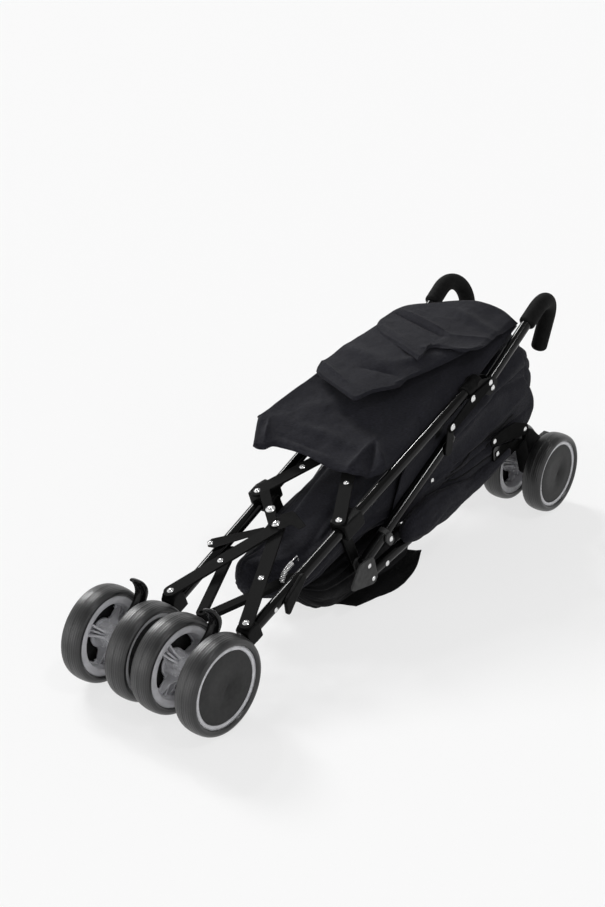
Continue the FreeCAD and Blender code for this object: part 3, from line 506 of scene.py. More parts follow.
def rim_pieces(name, place, phase):
    """A rim: wide pale lip, a dished wall, a web with three large windows, fins and a ribbed hub."""
    lip, wall = 51, 47
    teeth, crest, root = 8, 19.5, 16.6
    shell = [(62.4, 14.8), (56.3, 14.8), (56.0, 11.2), (49, 10.8), (46, 8), (wall, 3), (wall + 1, -2),
             (lip - 0.6, -13.6), (lip + 0.2, -14.8), (lip + 1.4, -15.2), (61, -15.4), (62.4, -14.8)]
    parts = [lathe(name + "_shell", place, shell, RIM_GREY, 112)]
    cells = 72
    third = cells // 3
    turns = [math.tau * k / cells + phase for k in range(cells)]
    rows = [[around(place, r, a, 3) for a in turns] for r in (15, 23, 26, 38, 41.5, 45.5, 48.5)]
    web = grid(rows, name + "_web", RIM_GREY, closed=True)
    work = bmesh.new()
    work.from_mesh(web.data)
    gone = []
    for face in work.faces:
        middle = place.inverted() @ face.calc_center_median()
        r = math.hypot(middle.x, middle.y) / MM
        turn = ((math.atan2(middle.y, middle.x) - phase) / math.tau * cells + third / 2) % third - third / 2
        big = (23 < r < 45.5 and abs(turn) < 8) or (26 < r < 41.5 and abs(turn) < 9)
        small = 41.5 < r < 45.5 and abs(turn) > third / 2 - 1
        if big or small:
            gone.append(face)
    bmesh.ops.delete(work, geom=gone, context="FACES")
    work.to_mesh(web.data)
    work.free()
    parts.append(thicken(web, WEB_THICKNESS, 0))
    for k in range(3):
        for shift, tall in ((0.4, -13), (0.5, -8), (0.6, -13)):
            a = math.tau * (k + shift) / 3 + phase
            way = Vector((math.cos(a), math.sin(a), 0))
            across = Vector((-way.y, way.x, 0)) * 1.5
            outline = [(14, tall - 6), (19, tall - 6), (30, tall + 4), (wall + 1, -3), (wall + 1, 3), (14, 3)]
            near, far = [[place @ ((way * r + across * sign + Vector((0, 0, h))) * MM) for r, h in outline]
                         for sign in (-1, 1)]
            parts.append(prism(f"{name}_fin{k}", near, far, RIM_GREY))
    hub = [[around(place, (crest if k % 4 in (0, 1) else root) * grow, math.tau * k / teeth / 4 + phase, h)
            for k in range(teeth * 4)] for h, grow in HUB_RINGS]
    hub_piece = grid(hub, name + "_hub", RIM_GREY, closed=True, capped=True)
    shade(hub_piece, False)
    parts.append(outward(hub_piece))
    return parts


def cover_piece(name, place):
    """A flat disc with a soft edge, set just inside the pale ring."""
    outline = [(0.01, 14.6), (40, 14.6), (54, 14.5), (55.2, 14.2), (55.7, 13.4), (55.7, 11.4), (0.01, 11.4)]
    return lathe(name, place, outline, DISC, 128)


def wheel_pair(name, side, y, phase):
    tyres, rims, covers = [], [], []
    for k, outside in enumerate((-1, 1)):
        place = wheel_place(side, y, outside * WHEEL_T, outside)
        tyres.append(lathe(f"tyre{k}", place, tyre_outline(), RUBBER, 144))
        rims += rim_pieces(f"rim{k}", place, math.radians(phase))
        covers.append(cover_piece(f"cover{k}", place))
    body = f"wheels_{name}"
    own(joined(f"tyres_{name}_round", tyres), body, "tyre", f"tyres_{name}")
    own(joined(f"rims_{name}_ribbed", rims), body, "rim", f"rims_{name}")
    own(joined(f"covers_{name}_disc", covers), body, "cover", f"wheel_covers_{name}")


for side, sign in SIDES:
    wheel_pair(f"front_{side}", side, 0, 95 if sign < 0 else 120)
    wheel_pair(f"rear_{side}", side, REAR_AXLE[0], 70)


# Tubes and grips
def straight(side, start, angle, length, t=0, count=24):
    return [at(side, t, *polar(start, angle, length * k / count)) for k in range(count + 1)]


def handle_line(side, sign, start):
    """The middle line of a handle: straight, round its hook, and the tail."""
    pin = at(side, 0, *HANDLE_PIN)
    along = (at(side, 0, *polar(HANDLE_PIN, HANDLE_RISE, 100)) - pin).normalized()
    down = (at(side, 0, *polar(HANDLE_PIN, HANDLE_RISE, 0, -100)) - pin).normalized()
    inward = (at(side, -sign * 100, *HANDLE_PIN) - pin).normalized()
    toe = math.radians(HOOK_TOE)
    bend = down * math.cos(toe) + inward * math.sin(toe)
    points = [pin + along * (start + (HANDLE_STRAIGHT - start) * k / 16) * MM for k in range(17)]
    centre = points[-1] + bend * HOOK_RADIUS * MM
    for k in range(1, 25):
        a = math.radians(HOOK_TURN) * k / 24
        points.append(centre + (along * math.sin(a) - bend * math.cos(a)) * HOOK_RADIUS * MM)
    a = math.radians(HOOK_TURN)
    way = along * math.cos(a) + bend * math.sin(a)
    end = points[-1]
    points += [end + way * HOOK_TAIL * MM * k / 12 for k in range(1, 13)]
    return points, way


for side, sign in SIDES:
    frame_body = f"frame_{side}"
    low, high = TUBE_ENDS
    line = straight(side, on_tube(low), TUBE_RISE, high - low)
    own(pipe(f"main_tube_{side}_round", line, TUBE_RADIUS, GLOSS), frame_body, "tube", f"main_tube_{side}")
    line = straight(side, STRUT_FOOT, STRUT_RISE, STRUT_LENGTH + TUBE_RADIUS, count=60)
    own(pipe(f"strut_{side}_round", line, TUBE_RADIUS, GLOSS, round_end=8), frame_body, "tube",
        f"strut_tube_{side}")
    line, tail = handle_line(side, sign, 0)
    own(pipe(f"handle_{side}_round", line, TUBE_RADIUS, GLOSS), f"handle_{side}", "tube",
        f"handle_tube_{side}")
    line, tail = handle_line(side, sign, HANDLE_STRAIGHT - GRIP_LEAD)
    line += [line[-1] + tail * MM * k for k in (2, 4, 6)]
    fine = []
    for a, b in zip(line, line[1:]):
        fine += [a, (a + b) / 2]
    fine.append(line[-1])
    grip = pipe(f"grip_{side}_foam", fine, GRIP_RADIUS, FOAM, 4, 7)
    own(grip, f"handle_{side}", "foam", f"handle_grip_{side}")


# Rigid CAD pieces that keep their shape or only get softer edges
def finish_nodes(prefix, material):
    for name, thing in frame["nodes"].items():
        if name.startswith(prefix):
            thing.data.materials.clear()
            thing.data.materials.append(material)


for prefix, material in (("axle", DARK_STEEL), ("rear_leg", GLOSS), ("lower_brace", SATIN),
                         ("upper_brace", SATIN), ("cross_bar", SATIN), ("storage_hook", PLASTIC),
                         ("front_socket", PLASTIC), ("front_fork", PLASTIC), ("lower_bracket", PLASTIC),
                         ("collar", PLASTIC), ("rear_bracket", PLASTIC), ("brake_pedal", HORN)):
    finish_nodes(prefix, material)

SOFTENING_ROUNDS = 7


def softened(name, voxel=0.0012):
    """A moulded copy of a CAD piece with softly rounded edges, which stands for it."""
    source = frame["nodes"][name]
    made = placed(f"{name}_moulded", source.data.copy())
    remesh = made.modifiers.new("even", "REMESH")
    remesh.mode = "VOXEL"
    remesh.voxel_size = voxel
    ease = made.modifiers.new("ease", "SMOOTH")
    ease.factor = 0.5
    ease.iterations = SOFTENING_ROUNDS
    shade(settle(made), True)
    body = source["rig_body"]
    slot_name = next(row["material_slot"] for row in frame["record"]["subparts"] if row["node"] == name)
    return own(made, body, slot_name, name)


for side, sign in SIDES:
    for kind in ("front_fork", "lower_bracket", "collar", "rear_bracket", "brake_pedal"):
        softened(f"{kind}_{side}")
softened("storage_hook", 0.0008)


# Toe levers: a curved horn that rises between the twin wheels, through (y, z, half width, half depth)
LEVER_PATH = [(-3, 97, 8.5, 7.5), (10, 106, 8.5, 8), (26, 118, 8.5, 8), (37, 129, 9, 9), (42, 141, 9.5, 9),
              (38.5, 153, 9.2, 6.8), (31, 162.5, 8, 4.4), (25, 167, 6, 2.8), (21, 168.5, 3, 1.2)]
for side, sign in SIDES:
    stations = curve_points(LEVER_PATH, 40)
    centres = [at(side, 0, y, z) for y, z, _, _ in stations]
    sections = [(wide, deep, 0.8) for _, _, wide, deep in stations]
    lever = sweep(f"toe_lever_{side}", centres, sections, HORN, Vector((0, -1, 0)), 28)
    own(lever, f"swivel_lever_{side}", "moulding", f"swivel_lever_{side}")


# Plates
def hull_outline(circles, steps=24):
    """The outline round circles of (y, z, radius)."""
    turns = [math.tau * k / steps for k in range(steps)]
    points = sorted({(round(y + r * math.cos(a), 4), round(z + r * math.sin(a), 4))
                     for y, z, r in circles for a in turns})
    halves = []
    for run in (points, points[::-1]):
        edge = []
        for p in run:
            while len(edge) > 1 and ((edge[-1][0] - edge[-2][0]) * (p[1] - edge[-2][1])
                                     - (edge[-1][1] - edge[-2][1]) * (p[0] - edge[-2][0])) <= 0:
                edge.pop()
            edge.append(p)
        halves += edge[:-1]
    return halves


def slab(label, near, far, material):
    """A flat piece between two outlines of the same length, with eased edges."""
    made = prism(label, near, far, material)
    ease = made.modifiers.new("ease", "BEVEL")
    ease.width = 0.7 * MM
    ease.segments = 2
    ease.limit_method = "ANGLE"
    return settle(made)


def side_plate(label, side, sign, plate, material):
    """A flat piece between two distances from a side frame's plane, round circles of (y, z, radius)."""
    low, high, circles = plate
    outline = hull_outline(circles)
    near, far = [[at(side, sign * t, y, z) for y, z in outline] for t in (low, high)]
    return slab(label, near, far, material)


def top_plate(label, body, pixels, low, high, *nodes):
    """A flat bar above the tubes' plane through places of the photograph."""
    near, far = [[over_tubes(px, py, v) for px, py in pixels] for v in (low, high)]
    return own(slab(label, near, far, SATIN), body, "bar", *nodes)


LEAVES = ((9.9, 14, ((355, 64, 7), (376, 84, 15), (394, 87, 13), (403, 61, 12))),
          (-14, -9.9, ((392, 84, 9), (402, 63, 9))))
STRUT_TOP = ((613, 214, 10.5), (616, 252, 9))
STRUT_CHEEKS = ((9.8, 12.8, STRUT_TOP), (-12.8, -9.8, STRUT_TOP))
LONG_LINK = (13.1, 16.1, ((616, 254, 8.5), (675, 287, 8.5), (731, 300, 8)))
JOINT = ((702, 303, 12), (744, 293, 12.5), (735, 285, 9))
JOINT_CHEEKS = ((9.9, 13, JOINT), (-14, -9.9, JOINT))
JOINT_RING = (598, 40, 13)
LEG_PLATE = (14, 17, ((752, 184, 9.5), (785, 187, 11), (820, 186, 12), (857, 173, 11)))
CLIP_EAR = (9.8, 13.4, ((446, 116, 9), (452, 108, 8)))
CLIP_RING = (60, 10, 10.6)
for side, sign in SIDES:
    body = f"frame_{side}"
    cheeks = [side_plate("leaf", side, sign, plate, GREY) for plate in LEAVES]
    own(joined(f"pivot_leaf_{side}", cheeks), body, "moulding", f"pivot_plate_{side}")
    cheeks = [side_plate("cheek", side, sign, plate, PLASTIC) for plate in STRUT_CHEEKS]
    own(joined(f"strut_top_{side}", cheeks), body, "moulding", f"strut_clamp_{side}")
    link = side_plate(f"long_link_{side}", side, sign, LONG_LINK, SATIN)
    own(link, body, "bar", f"fold_link_{side}")
    cheeks = [side_plate("cheek", side, sign, plate, PLASTIC) for plate in JOINT_CHEEKS]
    low, length, radius = JOINT_RING
    line = straight(side, on_tube(low), TUBE_RISE, length)
    cheeks.append(pipe("ring", line, radius, PLASTIC, round_start=1.5, round_end=1.5))
    own(joined(f"joint_cheeks_{side}", cheeks), body, "moulding", f"handle_joint_{side}")
    leg_plate = side_plate(f"leg_plate_{side}", side, sign, LEG_PLATE, SATIN)
    own(leg_plate, f"rear_leg_{side}", "bar")
    low, length, radius = CLIP_RING
    line = straight(side, polar(STRUT_FOOT, STRUT_RISE, low), STRUT_RISE, length)
    clip = [pipe("ring", line, radius, GREY, round_start=1, round_end=1),
            side_plate("ear", side, sign, CLIP_EAR, GREY)]
    own(joined(f"strut_clip_{side}", clip), body, "moulding")

# Places of the photograph
BOLT_HEAD = [(273, 522), (281.5, 514), (293, 510.8), (296, 513), (306.3, 526), (299.6, 529.5), (291, 525),
             (279, 530)]
STRAP = [(259, 492), (269.5, 489), (277, 521), (268, 524)]
THIN_LINK = [(207, 542), (212, 538.5), (264, 527), (267, 532), (214, 548), (208, 547)]
top_plate("bolt_head", "lower_brace_left", BOLT_HEAD, 26.4, 29.4, "centre_plate")
top_plate("canopy_strap", "lower_brace_left", STRAP, 29.6, 32.4)
top_plate("thin_link", "frame_left", THIN_LINK, 11, 14)

# The storage hook's coil spring
SPRING_PATH = [(-16, 208, 128), (-16, 214, 139), (-15, 222, 146), (-15, 232, 150)]
SPRING_HOOK = [(-15, 237, 156), (-15, 243, 158), (-15, 247, 153), (-15, 246, 148)]
SPRING_STEPS, SPRING_TURNS, SPRING_RADIUS, WIRE_RADIUS = 260, 15, 3.6, 0.75
centres = [at("right", *p) for p in curve_points(SPRING_PATH, SPRING_STEPS)]
coil = []
for k, centre in enumerate(centres):
    ahead = centres[min(k + 1, SPRING_STEPS)] - centres[max(k - 1, 0)]
    place = basis(centre, ahead, Vector((1, 0, 0)))
    a = math.tau * k / SPRING_STEPS * SPRING_TURNS
    coil.append(around(place, SPRING_RADIUS, a))
coil += [at("right", *p) for p in SPRING_HOOK]
own(pipe("hook_coil", coil, WIRE_RADIUS, STEEL, steps=8), "frame_right", "spring", "hook_spring")


# Rivets
RIVET_OUTLINE = [(0.01, 2.6), (1.6, 2.45), (2.9, 1.95), (3.8, 1.2), (4.3, 0.45), (5.2, 0.35),
                 (5.4, 0), (0.01, 0)]
RIVET_COUNT = [0]


def rivet(body, place, way, scale=1.0):
    RIVET_COUNT[0] += 1
    outline = [(r * scale, h * scale) for r, h in RIVET_OUTLINE]
    made = lathe(f"rivet_{RIVET_COUNT[0]}", basis(place, way, Vector((0, 1, 0.01))), outline, STEEL, 28)
    return own(made, body, "spring")


def brace_end(side, pivot, reach, level):
    """The two ends of a brace's half, at a level over the tubes' middle."""
    start = at(side, 0, *on_tube(pivot, level))
    end = Vector((0, start.y, start.z)) + TUBE_WAY * reach * MM
    return start, end


BRACES = (("lower_brace", 4, 181), ("upper_brace", 239, 165))
LEVELS = {"left": 22.3, "right": 18}
BAR = 4
# (distance outward, y, z, size) on the side frames and on the rear legs, and places along the low main tube
FRAME_RIVETS = ((14, *LEG_PIN, 0.8), (14, *STRUT_FOOT, 0.8), (16.1, 616, 256, 1.2), (16.1, 675, 289, 1.2),
                (16.1, 729, 302, 1), (13, 742, 288, 1), (13.4, 451, 112, 0.9), (5.5, 577, 169, 0.8))
LEG_RIVETS = ((17, 753, 184, 0.9), (12.6, 773, 152, 0.9), (17, 857, 173, 0.9),
              (9.8, *polar(LEG_PIN, LEG_RISE, 44), 0.9))
TUBE_RIVETS = (58, 90)
for side, sign in SIDES:
    for kind, pivot, reach in BRACES:
        start, end = brace_end(side, pivot, reach, LEVELS[side] + BAR)
        rivet(f"{kind}_{side}", start, TUBE_NORMAL)
        rivet(f"{kind}_{side}", start.lerp(end, 0.46), TUBE_NORMAL, 0.9)
    across = Vector(JOINTS[f"wheels_front_{side}_spin"]["axis"]) * sign
    for part, spots in (("frame", FRAME_RIVETS), ("rear_leg", LEG_RIVETS)):
        for out, y, z, size in spots:
            rivet(f"{part}_{side}", at(side, sign * out, y, z), across, size)
    for u in TUBE_RIVETS:
        rivet(f"frame_{side}", at(side, sign * 9.3, *on_tube(u)), across, 0.8)
# (body, pixel across, pixel down, level over the tubes, size)
PIXEL_RIVETS = (("lower_brace_left", 275.5, 523.5, 29.4, 1.3), ("lower_brace_left", 270.3, 509, 32.4, 1.5),
                ("frame_left", 210, 543, 14, 0.9), ("frame_left", 214.6, 584.4, 12, 0.7))
for body, px, py, level, size in PIXEL_RIVETS:
    rivet(body, over_tubes(px, py, level), TUBE_NORMAL, size)
start, end = brace_end("left", *BRACES[1][1:], LEVELS["left"] + BAR)
rivet("upper_brace_left", end, TUBE_NORMAL)

# Pale sleeve on the left tube
sleeve = pipe("pale_sleeve", straight("left", on_tube(-26), TUBE_RISE, 20), TUBE_RADIUS + 0.8, RIM_GREY)
own(sleeve, "frame_left", "rim")


# Cloth
def side_curve(points, steps):
    return [Vector(p) for p in curve_points([tuple(p) for p in points], steps)]


def patch(front, back, left, right, across, down):
    """Rows of points over four border curves; left and right run from front to back."""
    front, back = side_curve(front, across), side_curve(back, across)
    left, right = side_curve(left, down), side_curve(right, down)
    rows = []
    for k in range(down + 1):
        v = k / down
        row = []
        for n in range(across + 1):
            u = n / across
            ruled = front[n].lerp(back[n], v) + left[k].lerp(right[k], u)
            corners = front[0].lerp(front[-1], u).lerp(back[0].lerp(back[-1], u), v)
            row.append(ruled - corners)
        rows.append(row)
    return rows


def ridge(point, start, end, wide, high, sharp):
    """The height of a fold along a line, in metres: soft, or with a crisp crest."""
    run = end - start
    f = max(0, min(1, (point - start).dot(run) / run.length_squared))
    gap = (point - start - run * f).length / wide
    fade = math.sin(math.pi * (0.1 + 0.8 * f))
    return high * fade * (math.exp(-gap * 1.4) if sharp else math.exp(-gap ** 2))


def crumpled(point, fine=9.0):
    """Soft cloth relief between about -1 and 1."""
    seed = Vector((point.x * fine, point.y * fine * 0.7, point.z * fine))
    return noise.noise(seed) + 0.5 * noise.noise(seed * 2.3) + 0.25 * noise.noise(seed * 5.1)


def flat_over_tubes(point):
    """The point dropped onto the tubes' plane."""
    base = at("right", 0, *on_tube(0))
    return point - TUBE_NORMAL * (point - base).dot(TUBE_NORMAL)


CLOTH_THICKNESS = 1.2
# No cloth comes nearer to the floor
LOWEST_CLOTH = 2.5
CANOPY_STEPS = 110
FOLD_LEVEL = 50
FOLD_GAIN = 1.35
PANEL_CRUMPLE = 3
PIPING_RADIUS = 2.2
SEAM_RADIUS = 1.7
SEAM_LIFT = 1.2


def solid_sheet(made):
    shade(thicken(made, CLOTH_THICKNESS, -1), True)
    return made


def flat_size(rows):
    """Width, length and area of a sheet as it lies along its surface, in metres."""
    def run(points):
        return sum((b - a).length for a, b in zip(points, points[1:]))

    wide = max(run(row) for row in rows)
    long = max(run([row[n] for row in rows]) for n in range(0, len(rows[0]), 8))
    area = 0
    for near, far in zip(rows, rows[1:]):
        for n in range(len(near) - 1):
            area += (far[n + 1] - near[n]).cross(far[n] - near[n + 1]).length / 2
    return (wide, long), min(area, wide * long)


def canopy_sheet(label, borders, folds, crumple, rise, edge_drop):
    """A layer of the canopy: a patch over its borders with folds, crumples and a stitched hem."""
    def fold_end(pixel):
        return flat_over_tubes(over_tubes(*pixel, FOLD_LEVEL))

    rows = patch(*[[over_tubes(*p) for p in border] for border in borders], CANOPY_STEPS, CANOPY_STEPS)
    lines = [(fold_end(a), fold_end(b), wide * MM, high * MM, sharp) for a, b, wide, high, sharp in folds]
    down, across = len(rows) - 1, len(rows[0]) - 1
    for k, row in enumerate(rows):
        for n, point in enumerate(row):
            flat = flat_over_tubes(point)
            lift = FOLD_GAIN * sum(ridge(flat, *line) for line in lines)
            lift += crumple * MM * (crumpled(flat) + 0.3 * crumpled(flat, 31))
            edge = min(k, down - k, n, across - n)
            hem = 1 - min(edge / 6, 1)
            lift += (rise * (1 - hem) - edge_drop * hem * hem - (0.7 if edge == 3 else 0)) * MM
            row[n] = point + TUBE_NORMAL * lift
    made = solid_sheet(grid(rows, label, CHARCOAL))
    flat, area = flat_size(rows)
    return made


BASE_BORDERS = (
    [(252, 444, 62), (257, 447, 59), (264, 447, 58), (272, 444, 57), (283, 446, 55), (303, 453, 50),
     (322, 463, 44), (347, 472, 36), (364, 474, 28), (382, 473, 14), (398, 466, -4)],
    [(411, 307, 42), (440, 303, 36), (470, 302, 28), (500, 311, 14), (517, 324, 0)],
    [(252, 444, 62), (254.5, 431, 66), (257, 418, 70), (258, 415, 70), (262, 411, 70), (316, 371, 66),
     (377, 325, 52), (411, 307, 42)],
    [(398, 466, -4), (425, 437, -4), (456, 401, -3), (487, 363, -1), (517, 324, 0)])
BASE_FOLDS = (((375, 430), (343, 467), 9, 6, True), ((373, 430), (386, 462), 7, 7, True),
              ((374, 432), (362, 470), 6, -6, False), ((417, 398), (416, 432), 7, -6, True),
              ((428, 378), (408, 428), 12, 6, False), ((330, 405), (380, 425), 16, -4, False),
              ((290, 425), (352, 442), 12, 4, False), ((272, 425), (266, 445), 8, 5, True),
              ((450, 372), (405, 458), 9, 5, True), ((350, 400), (295, 418), 20, 4, False),
              ((460, 385), (430, 425), 8, -4, True), ((276, 437), (330, 452), 7, -3, True),
              ((440, 362), (425, 400), 8, 4, True))
MIDDLE_BORDERS = (
    [(316, 371, 73), (320, 376, 74), (336, 388, 75), (350, 398, 76), (354, 400, 76), (359, 399, 75),
     (372, 393, 70), (385, 390, 64), (399, 387, 57)],
    [(377, 324, 58), (395, 328, 60), (418, 333, 58), (440, 340, 50), (468, 351, 38)],
    [(316, 371, 73), (321, 363, 74), (348, 343, 67), (377, 324, 58)],
    [(399, 387, 57), (410, 380, 52), (430, 371, 45), (450, 361, 40), (468, 351, 38)])
MIDDLE_FOLDS = (((322, 372), (352, 397), 8, 5, True), ((362, 378), (400, 382), 9, -4, True),
                ((398, 388), (462, 355), 6, 5, True), ((345, 355), (392, 376), 16, 4, False),
                ((395, 372), (440, 355), 10, 4, False))
TOP_BORDERS = (
    [(376.5, 324, 63), (379, 330, 66), (383, 336, 67), (402, 349, 68), (416, 359.5, 65), (418, 361, 64),
     (421, 358, 62), (427, 351, 58), (436, 348.5, 55), (448, 351, 50), (468, 353, 43), (486, 346, 34)],
    [(390, 314, 52), (409, 306, 47), (443, 302, 40), (470, 300, 33), (487, 303, 27), (504, 311, 16),
     (517, 323, 4)],
    [(376.5, 324, 63), (380, 319, 58), (390, 314, 52)],
    [(486, 346, 34), (498, 337, 20), (508, 330, 10), (517, 323, 4)])
TOP_FOLDS = (((397, 316), (443, 338), 5, -6, True), ((403, 312), (449, 334), 6, 4, True),
             ((424, 354), (484, 347), 7, 5, True), ((455, 306), (500, 325), 12, 4, False),
             ((386, 333), (414, 355), 8, 3, False), ((450, 335), (500, 330), 9, 3, True))
layers = [canopy_sheet("canopy_base", BASE_BORDERS, BASE_FOLDS, 4, 0, 5),
          canopy_sheet("canopy_middle", MIDDLE_BORDERS, MIDDLE_FOLDS, 2.5, 4, 1),
          canopy_sheet("canopy_top", TOP_BORDERS, TOP_FOLDS, 2.5, 4, 1)]
piping = [over_tubes(px, py, v - 3) for px, py, v in BASE_BORDERS[1]]
piping = pipe("canopy_piping", side_curve(piping, 60), PIPING_RADIUS, BLACK_CLOTH, steps=10)


def plane_level(y):
    """The height of the tubes' plane over a place along the stroller."""
    return ANCHOR[1] + (y - ANCHOR[0]) * math.tan(math.radians(TUBE_RISE))


ORIGIN_Y = -at("left", 0, 0, 0).y / MM


def bundle(label, material, rings, deep):
    """A closed bundle of folded cloth through rings of (y, left, right, low, high) in millimetres."""
    pleats, steps, count, square = 10, 150, 110, 0.7
    rows = []
    for y, left, right, low, high in curve_points(rings, count):
        row = []
        for n in range(steps):
            a = math.tau * n / steps
            c, s = math.cos(a), math.sin(a)
            spot = Vector((c * 1.4, y * 0.0042, s * 1.4))
            fold = abs(math.sin(a * pleats / 2 + 4.5 * noise.noise(spot)))
            wave = deep * (fold * 1.5 - 1) + 1.3 * deep * noise.noise(spot * 2.6)
            wave += 0.05 * crumpled(Vector((c * 0.12, y * 0.0011, s * 0.12)), 12)
            r = 1 - deep + wave
            x = (left + right) / 2 + math.copysign(abs(c) ** square, c) * (right - left) / 2 * r
            z = (low + high) / 2 + math.copysign(abs(s) ** square, s) * (high - low) / 2 * r
            row.append(Vector((x, y - ORIGIN_Y, max(z, LOWEST_CLOTH))) * MM)
        rows.append(row)
    made = outward(grid(rows, label, material, closed=True, capped=True))
    return made


def hanging(y, drop):
    return plane_level(y) - drop


SEAT_RINGS = [(232, -50, -24, 70, 98), (244, -60, -4, 52, 118), (275, -64, 40, 52, 128),
              (310, -65, 60, 66, 145),
              (360, -66, 64, 86, hanging(360, 12)), (440, -69, 68, 98, hanging(440, 12)),
              (540, -75, 75, 96, hanging(540, 12)), (640, -80, 80, 100, hanging(640, 14)),
              (740, -84, 84, 112, hanging(740, 18)), (820, -88, 88, 136, hanging(820, 26)),
              (880, -91, 91, 150, 343), (908, -90, 91, 156, 338), (924, -84, 86, 163, 312),
              (932, -74, 76, 172, 268), (936, -60, 62, 185, 228)]
BASKET_RINGS = [(296, -30, 30, 48, 76), (312, -58, 60, 26, 84), (345, -64, 66, 8, 88), (420, -66, 67, 3, 92),
                (520, -66, 66, 3, 90), (565, -60, 60, 8, 80), (590, -36, 36, 26, 66)]
seat = bundle("seat_cloth", CHARCOAL, SEAT_RINGS, 0.05)
basket_piece = bundle("basket_cloth", BLACK_CLOTH, BASKET_RINGS, 0.06)


# Borders of (distance outward, y, z), folds along lines of (y, z), and the photograph's seams
PANEL_BORDERS = (
    [(-10, 478, 112), (-11, 486, 146), (-12, 506, 190), (-11, 535, 224)],
    [(-2, 884, 158), (0, 905, 183), (0, 906, 214), (-2, 878, 262), (-4, 872, 288), (-13, 866, 316),
     (-14, 842, 336)],
    [(-10, 478, 112), (-4, 560, 112), (2, 640, 118), (3, 720, 130), (2, 800, 143), (-2, 884, 158)],
    [(-11, 535, 224), (-12, 640, 262), (-13, 720, 290), (-14, 790, 310), (-14, 842, 336)])
PANEL_FOLDS = (((560, 150), (880, 235), 9, 7, True), ((560, 128), (890, 200), 6, -7, True),
               ((600, 200), (870, 300), 12, 8, False), ((640, 240), (860, 320), 8, -8, True),
               ((540, 170), (700, 255), 10, 6, False), ((700, 150), (880, 180), 6, 6, True),
               ((760, 260), (880, 262), 7, -7, False), ((590, 166), (860, 190), 4, -6, True),
               ((575, 162), (870, 176), 4, 5, True), ((620, 215), (880, 285), 6, -6, True))
SEAM_PIXELS = (((441, 484), (455, 478), (471, 466), (492, 452)),
               ((443, 479), (458, 470), (474, 456), (489, 442)),
               ((446, 473), (466, 456), (486, 436), (514, 412)))


def side_panel(side, sign):
    """A hanging panel of cloth beside a side frame, with its folds; gives its points and its outward way."""
    rows = patch(*[[at(side, sign * t, y, z) for t, y, z in border] for border in PANEL_BORDERS], 90, 60)
    out = Vector(JOINTS[f"wheels_front_{side}_spin"]["axis"]) * sign
    ends = [(Vector((0, a[0] * MM, a[1] * MM)), Vector((0, b[0] * MM, b[1] * MM)), wide * MM, high * MM,
             sharp) for a, b, wide, high, sharp in PANEL_FOLDS]
    for row in rows:
        for n, point in enumerate(row):
            spot = Vector((0, point.y + ORIGIN_Y * MM, point.z))
            lift = sum(ridge(spot, *end) for end in ends) + PANEL_CRUMPLE * MM * crumpled(spot, 14)
            row[n] = point + out * lift
    made = solid_sheet(grid(rows, f"side_panel_{side}", CHARCOAL))
    flat, area = flat_size(rows)
    own(made, f"frame_{side}", "cloth")
    return [point for row in rows for point in row], out


def seam(label, side, surface, out, places):
    """A thin black piping laid on a hanging panel through places of (y, z)."""
    line = []
    for y, z in curve_points(places, 40):
        near = min(surface, key=lambda p: (p.y + (ORIGIN_Y - y) * MM) ** 2 + (p.z - z * MM) ** 2)
        line.append(near + out * SEAM_LIFT * MM)
    for _ in range(2):
        line = [(a + b + c) / 3 for a, b, c in zip(line, line[1:], line[2:])]
    own(pipe(label, line, SEAM_RADIUS, BLACK_CLOTH, steps=8), f"frame_{side}", "cloth")


ROLL_STATIONS = [(8, 492, 100, 4, 6), (8, 500, 102, 14, 18), (9, 530, 105, 20, 27), (9, 570, 112, 21, 29),
                 (9, 620, 117, 19, 25), (8, 665, 117, 16, 19), (8, 710, 118, 13, 15), (7, 760, 127, 11, 12),
                 (6, 815, 140, 9, 10)]
for side, sign in SIDES:
    surface, out = side_panel(side, sign)
    for k, pixels in enumerate(SEAM_PIXELS):
        places = [beside(px, py, -2) for px, py in pixels]
        seam(f"side_seam_{side}_{k}", side, surface, out,
             [(p.y / MM + ORIGIN_Y, p.z / MM) for p in places])
    rows = []
    for t, y, z, wide, tall in curve_points(ROLL_STATIONS, 70):
        row = []
        for n in range(56):
            a = math.tau * n / 56
            spot = Vector((math.cos(a) * 1.2, y * 0.012, math.sin(a) * 1.2 + sign))
            r = 1 + 0.16 * noise.noise(spot) + 0.1 * noise.noise(spot * 2.7)
            row.append(at(side, sign * (t + wide * r * math.cos(a)), y, z + tall * r * math.sin(a)))
        rows.append(row)
    roll = outward(grid(rows, f"side_roll_{side}", CHARCOAL, closed=True, capped=True))
    own(roll, f"rear_leg_{side}", "cloth")

FLAP_BORDERS = (
    [(-72, 318, 26), (-45, 332, 10), (-20, 345, 5), (20, 366, 5), (50, 383, 6), (74, 388, 8)],
    [(-74, 560, 20), (-40, 585, 14), (0, 592, 10), (36, 596, 12), (66, 596, 20)],
    [(-72, 318, 26), (-84, 360, 10), (-92, 400, 5), (-93, 480, 5), (-90, 530, 8), (-74, 560, 20)],
    [(74, 388, 8), (80, 430, 5), (90, 474, 5), (90, 510, 6), (84, 552, 12), (66, 596, 20)])
FLAP_STEPS = 90
flap_rows = patch(*[[Vector((x, y - ORIGIN_Y, z)) * MM for x, y, z in border] for border in FLAP_BORDERS],
                  FLAP_STEPS, FLAP_STEPS)
for row in flap_rows:
    for n, point in enumerate(row):
        edge = abs(n / FLAP_STEPS - 0.5) * 2
        point.z = max(LOWEST_CLOTH * MM, point.z + (4 * crumpled(point, 16) * edge - 3 * (1 - edge)) * MM)
basket_floor = solid_sheet(grid(flap_rows, "basket_floor", BLACK_CLOTH))
flat, area = flat_size(flap_rows)
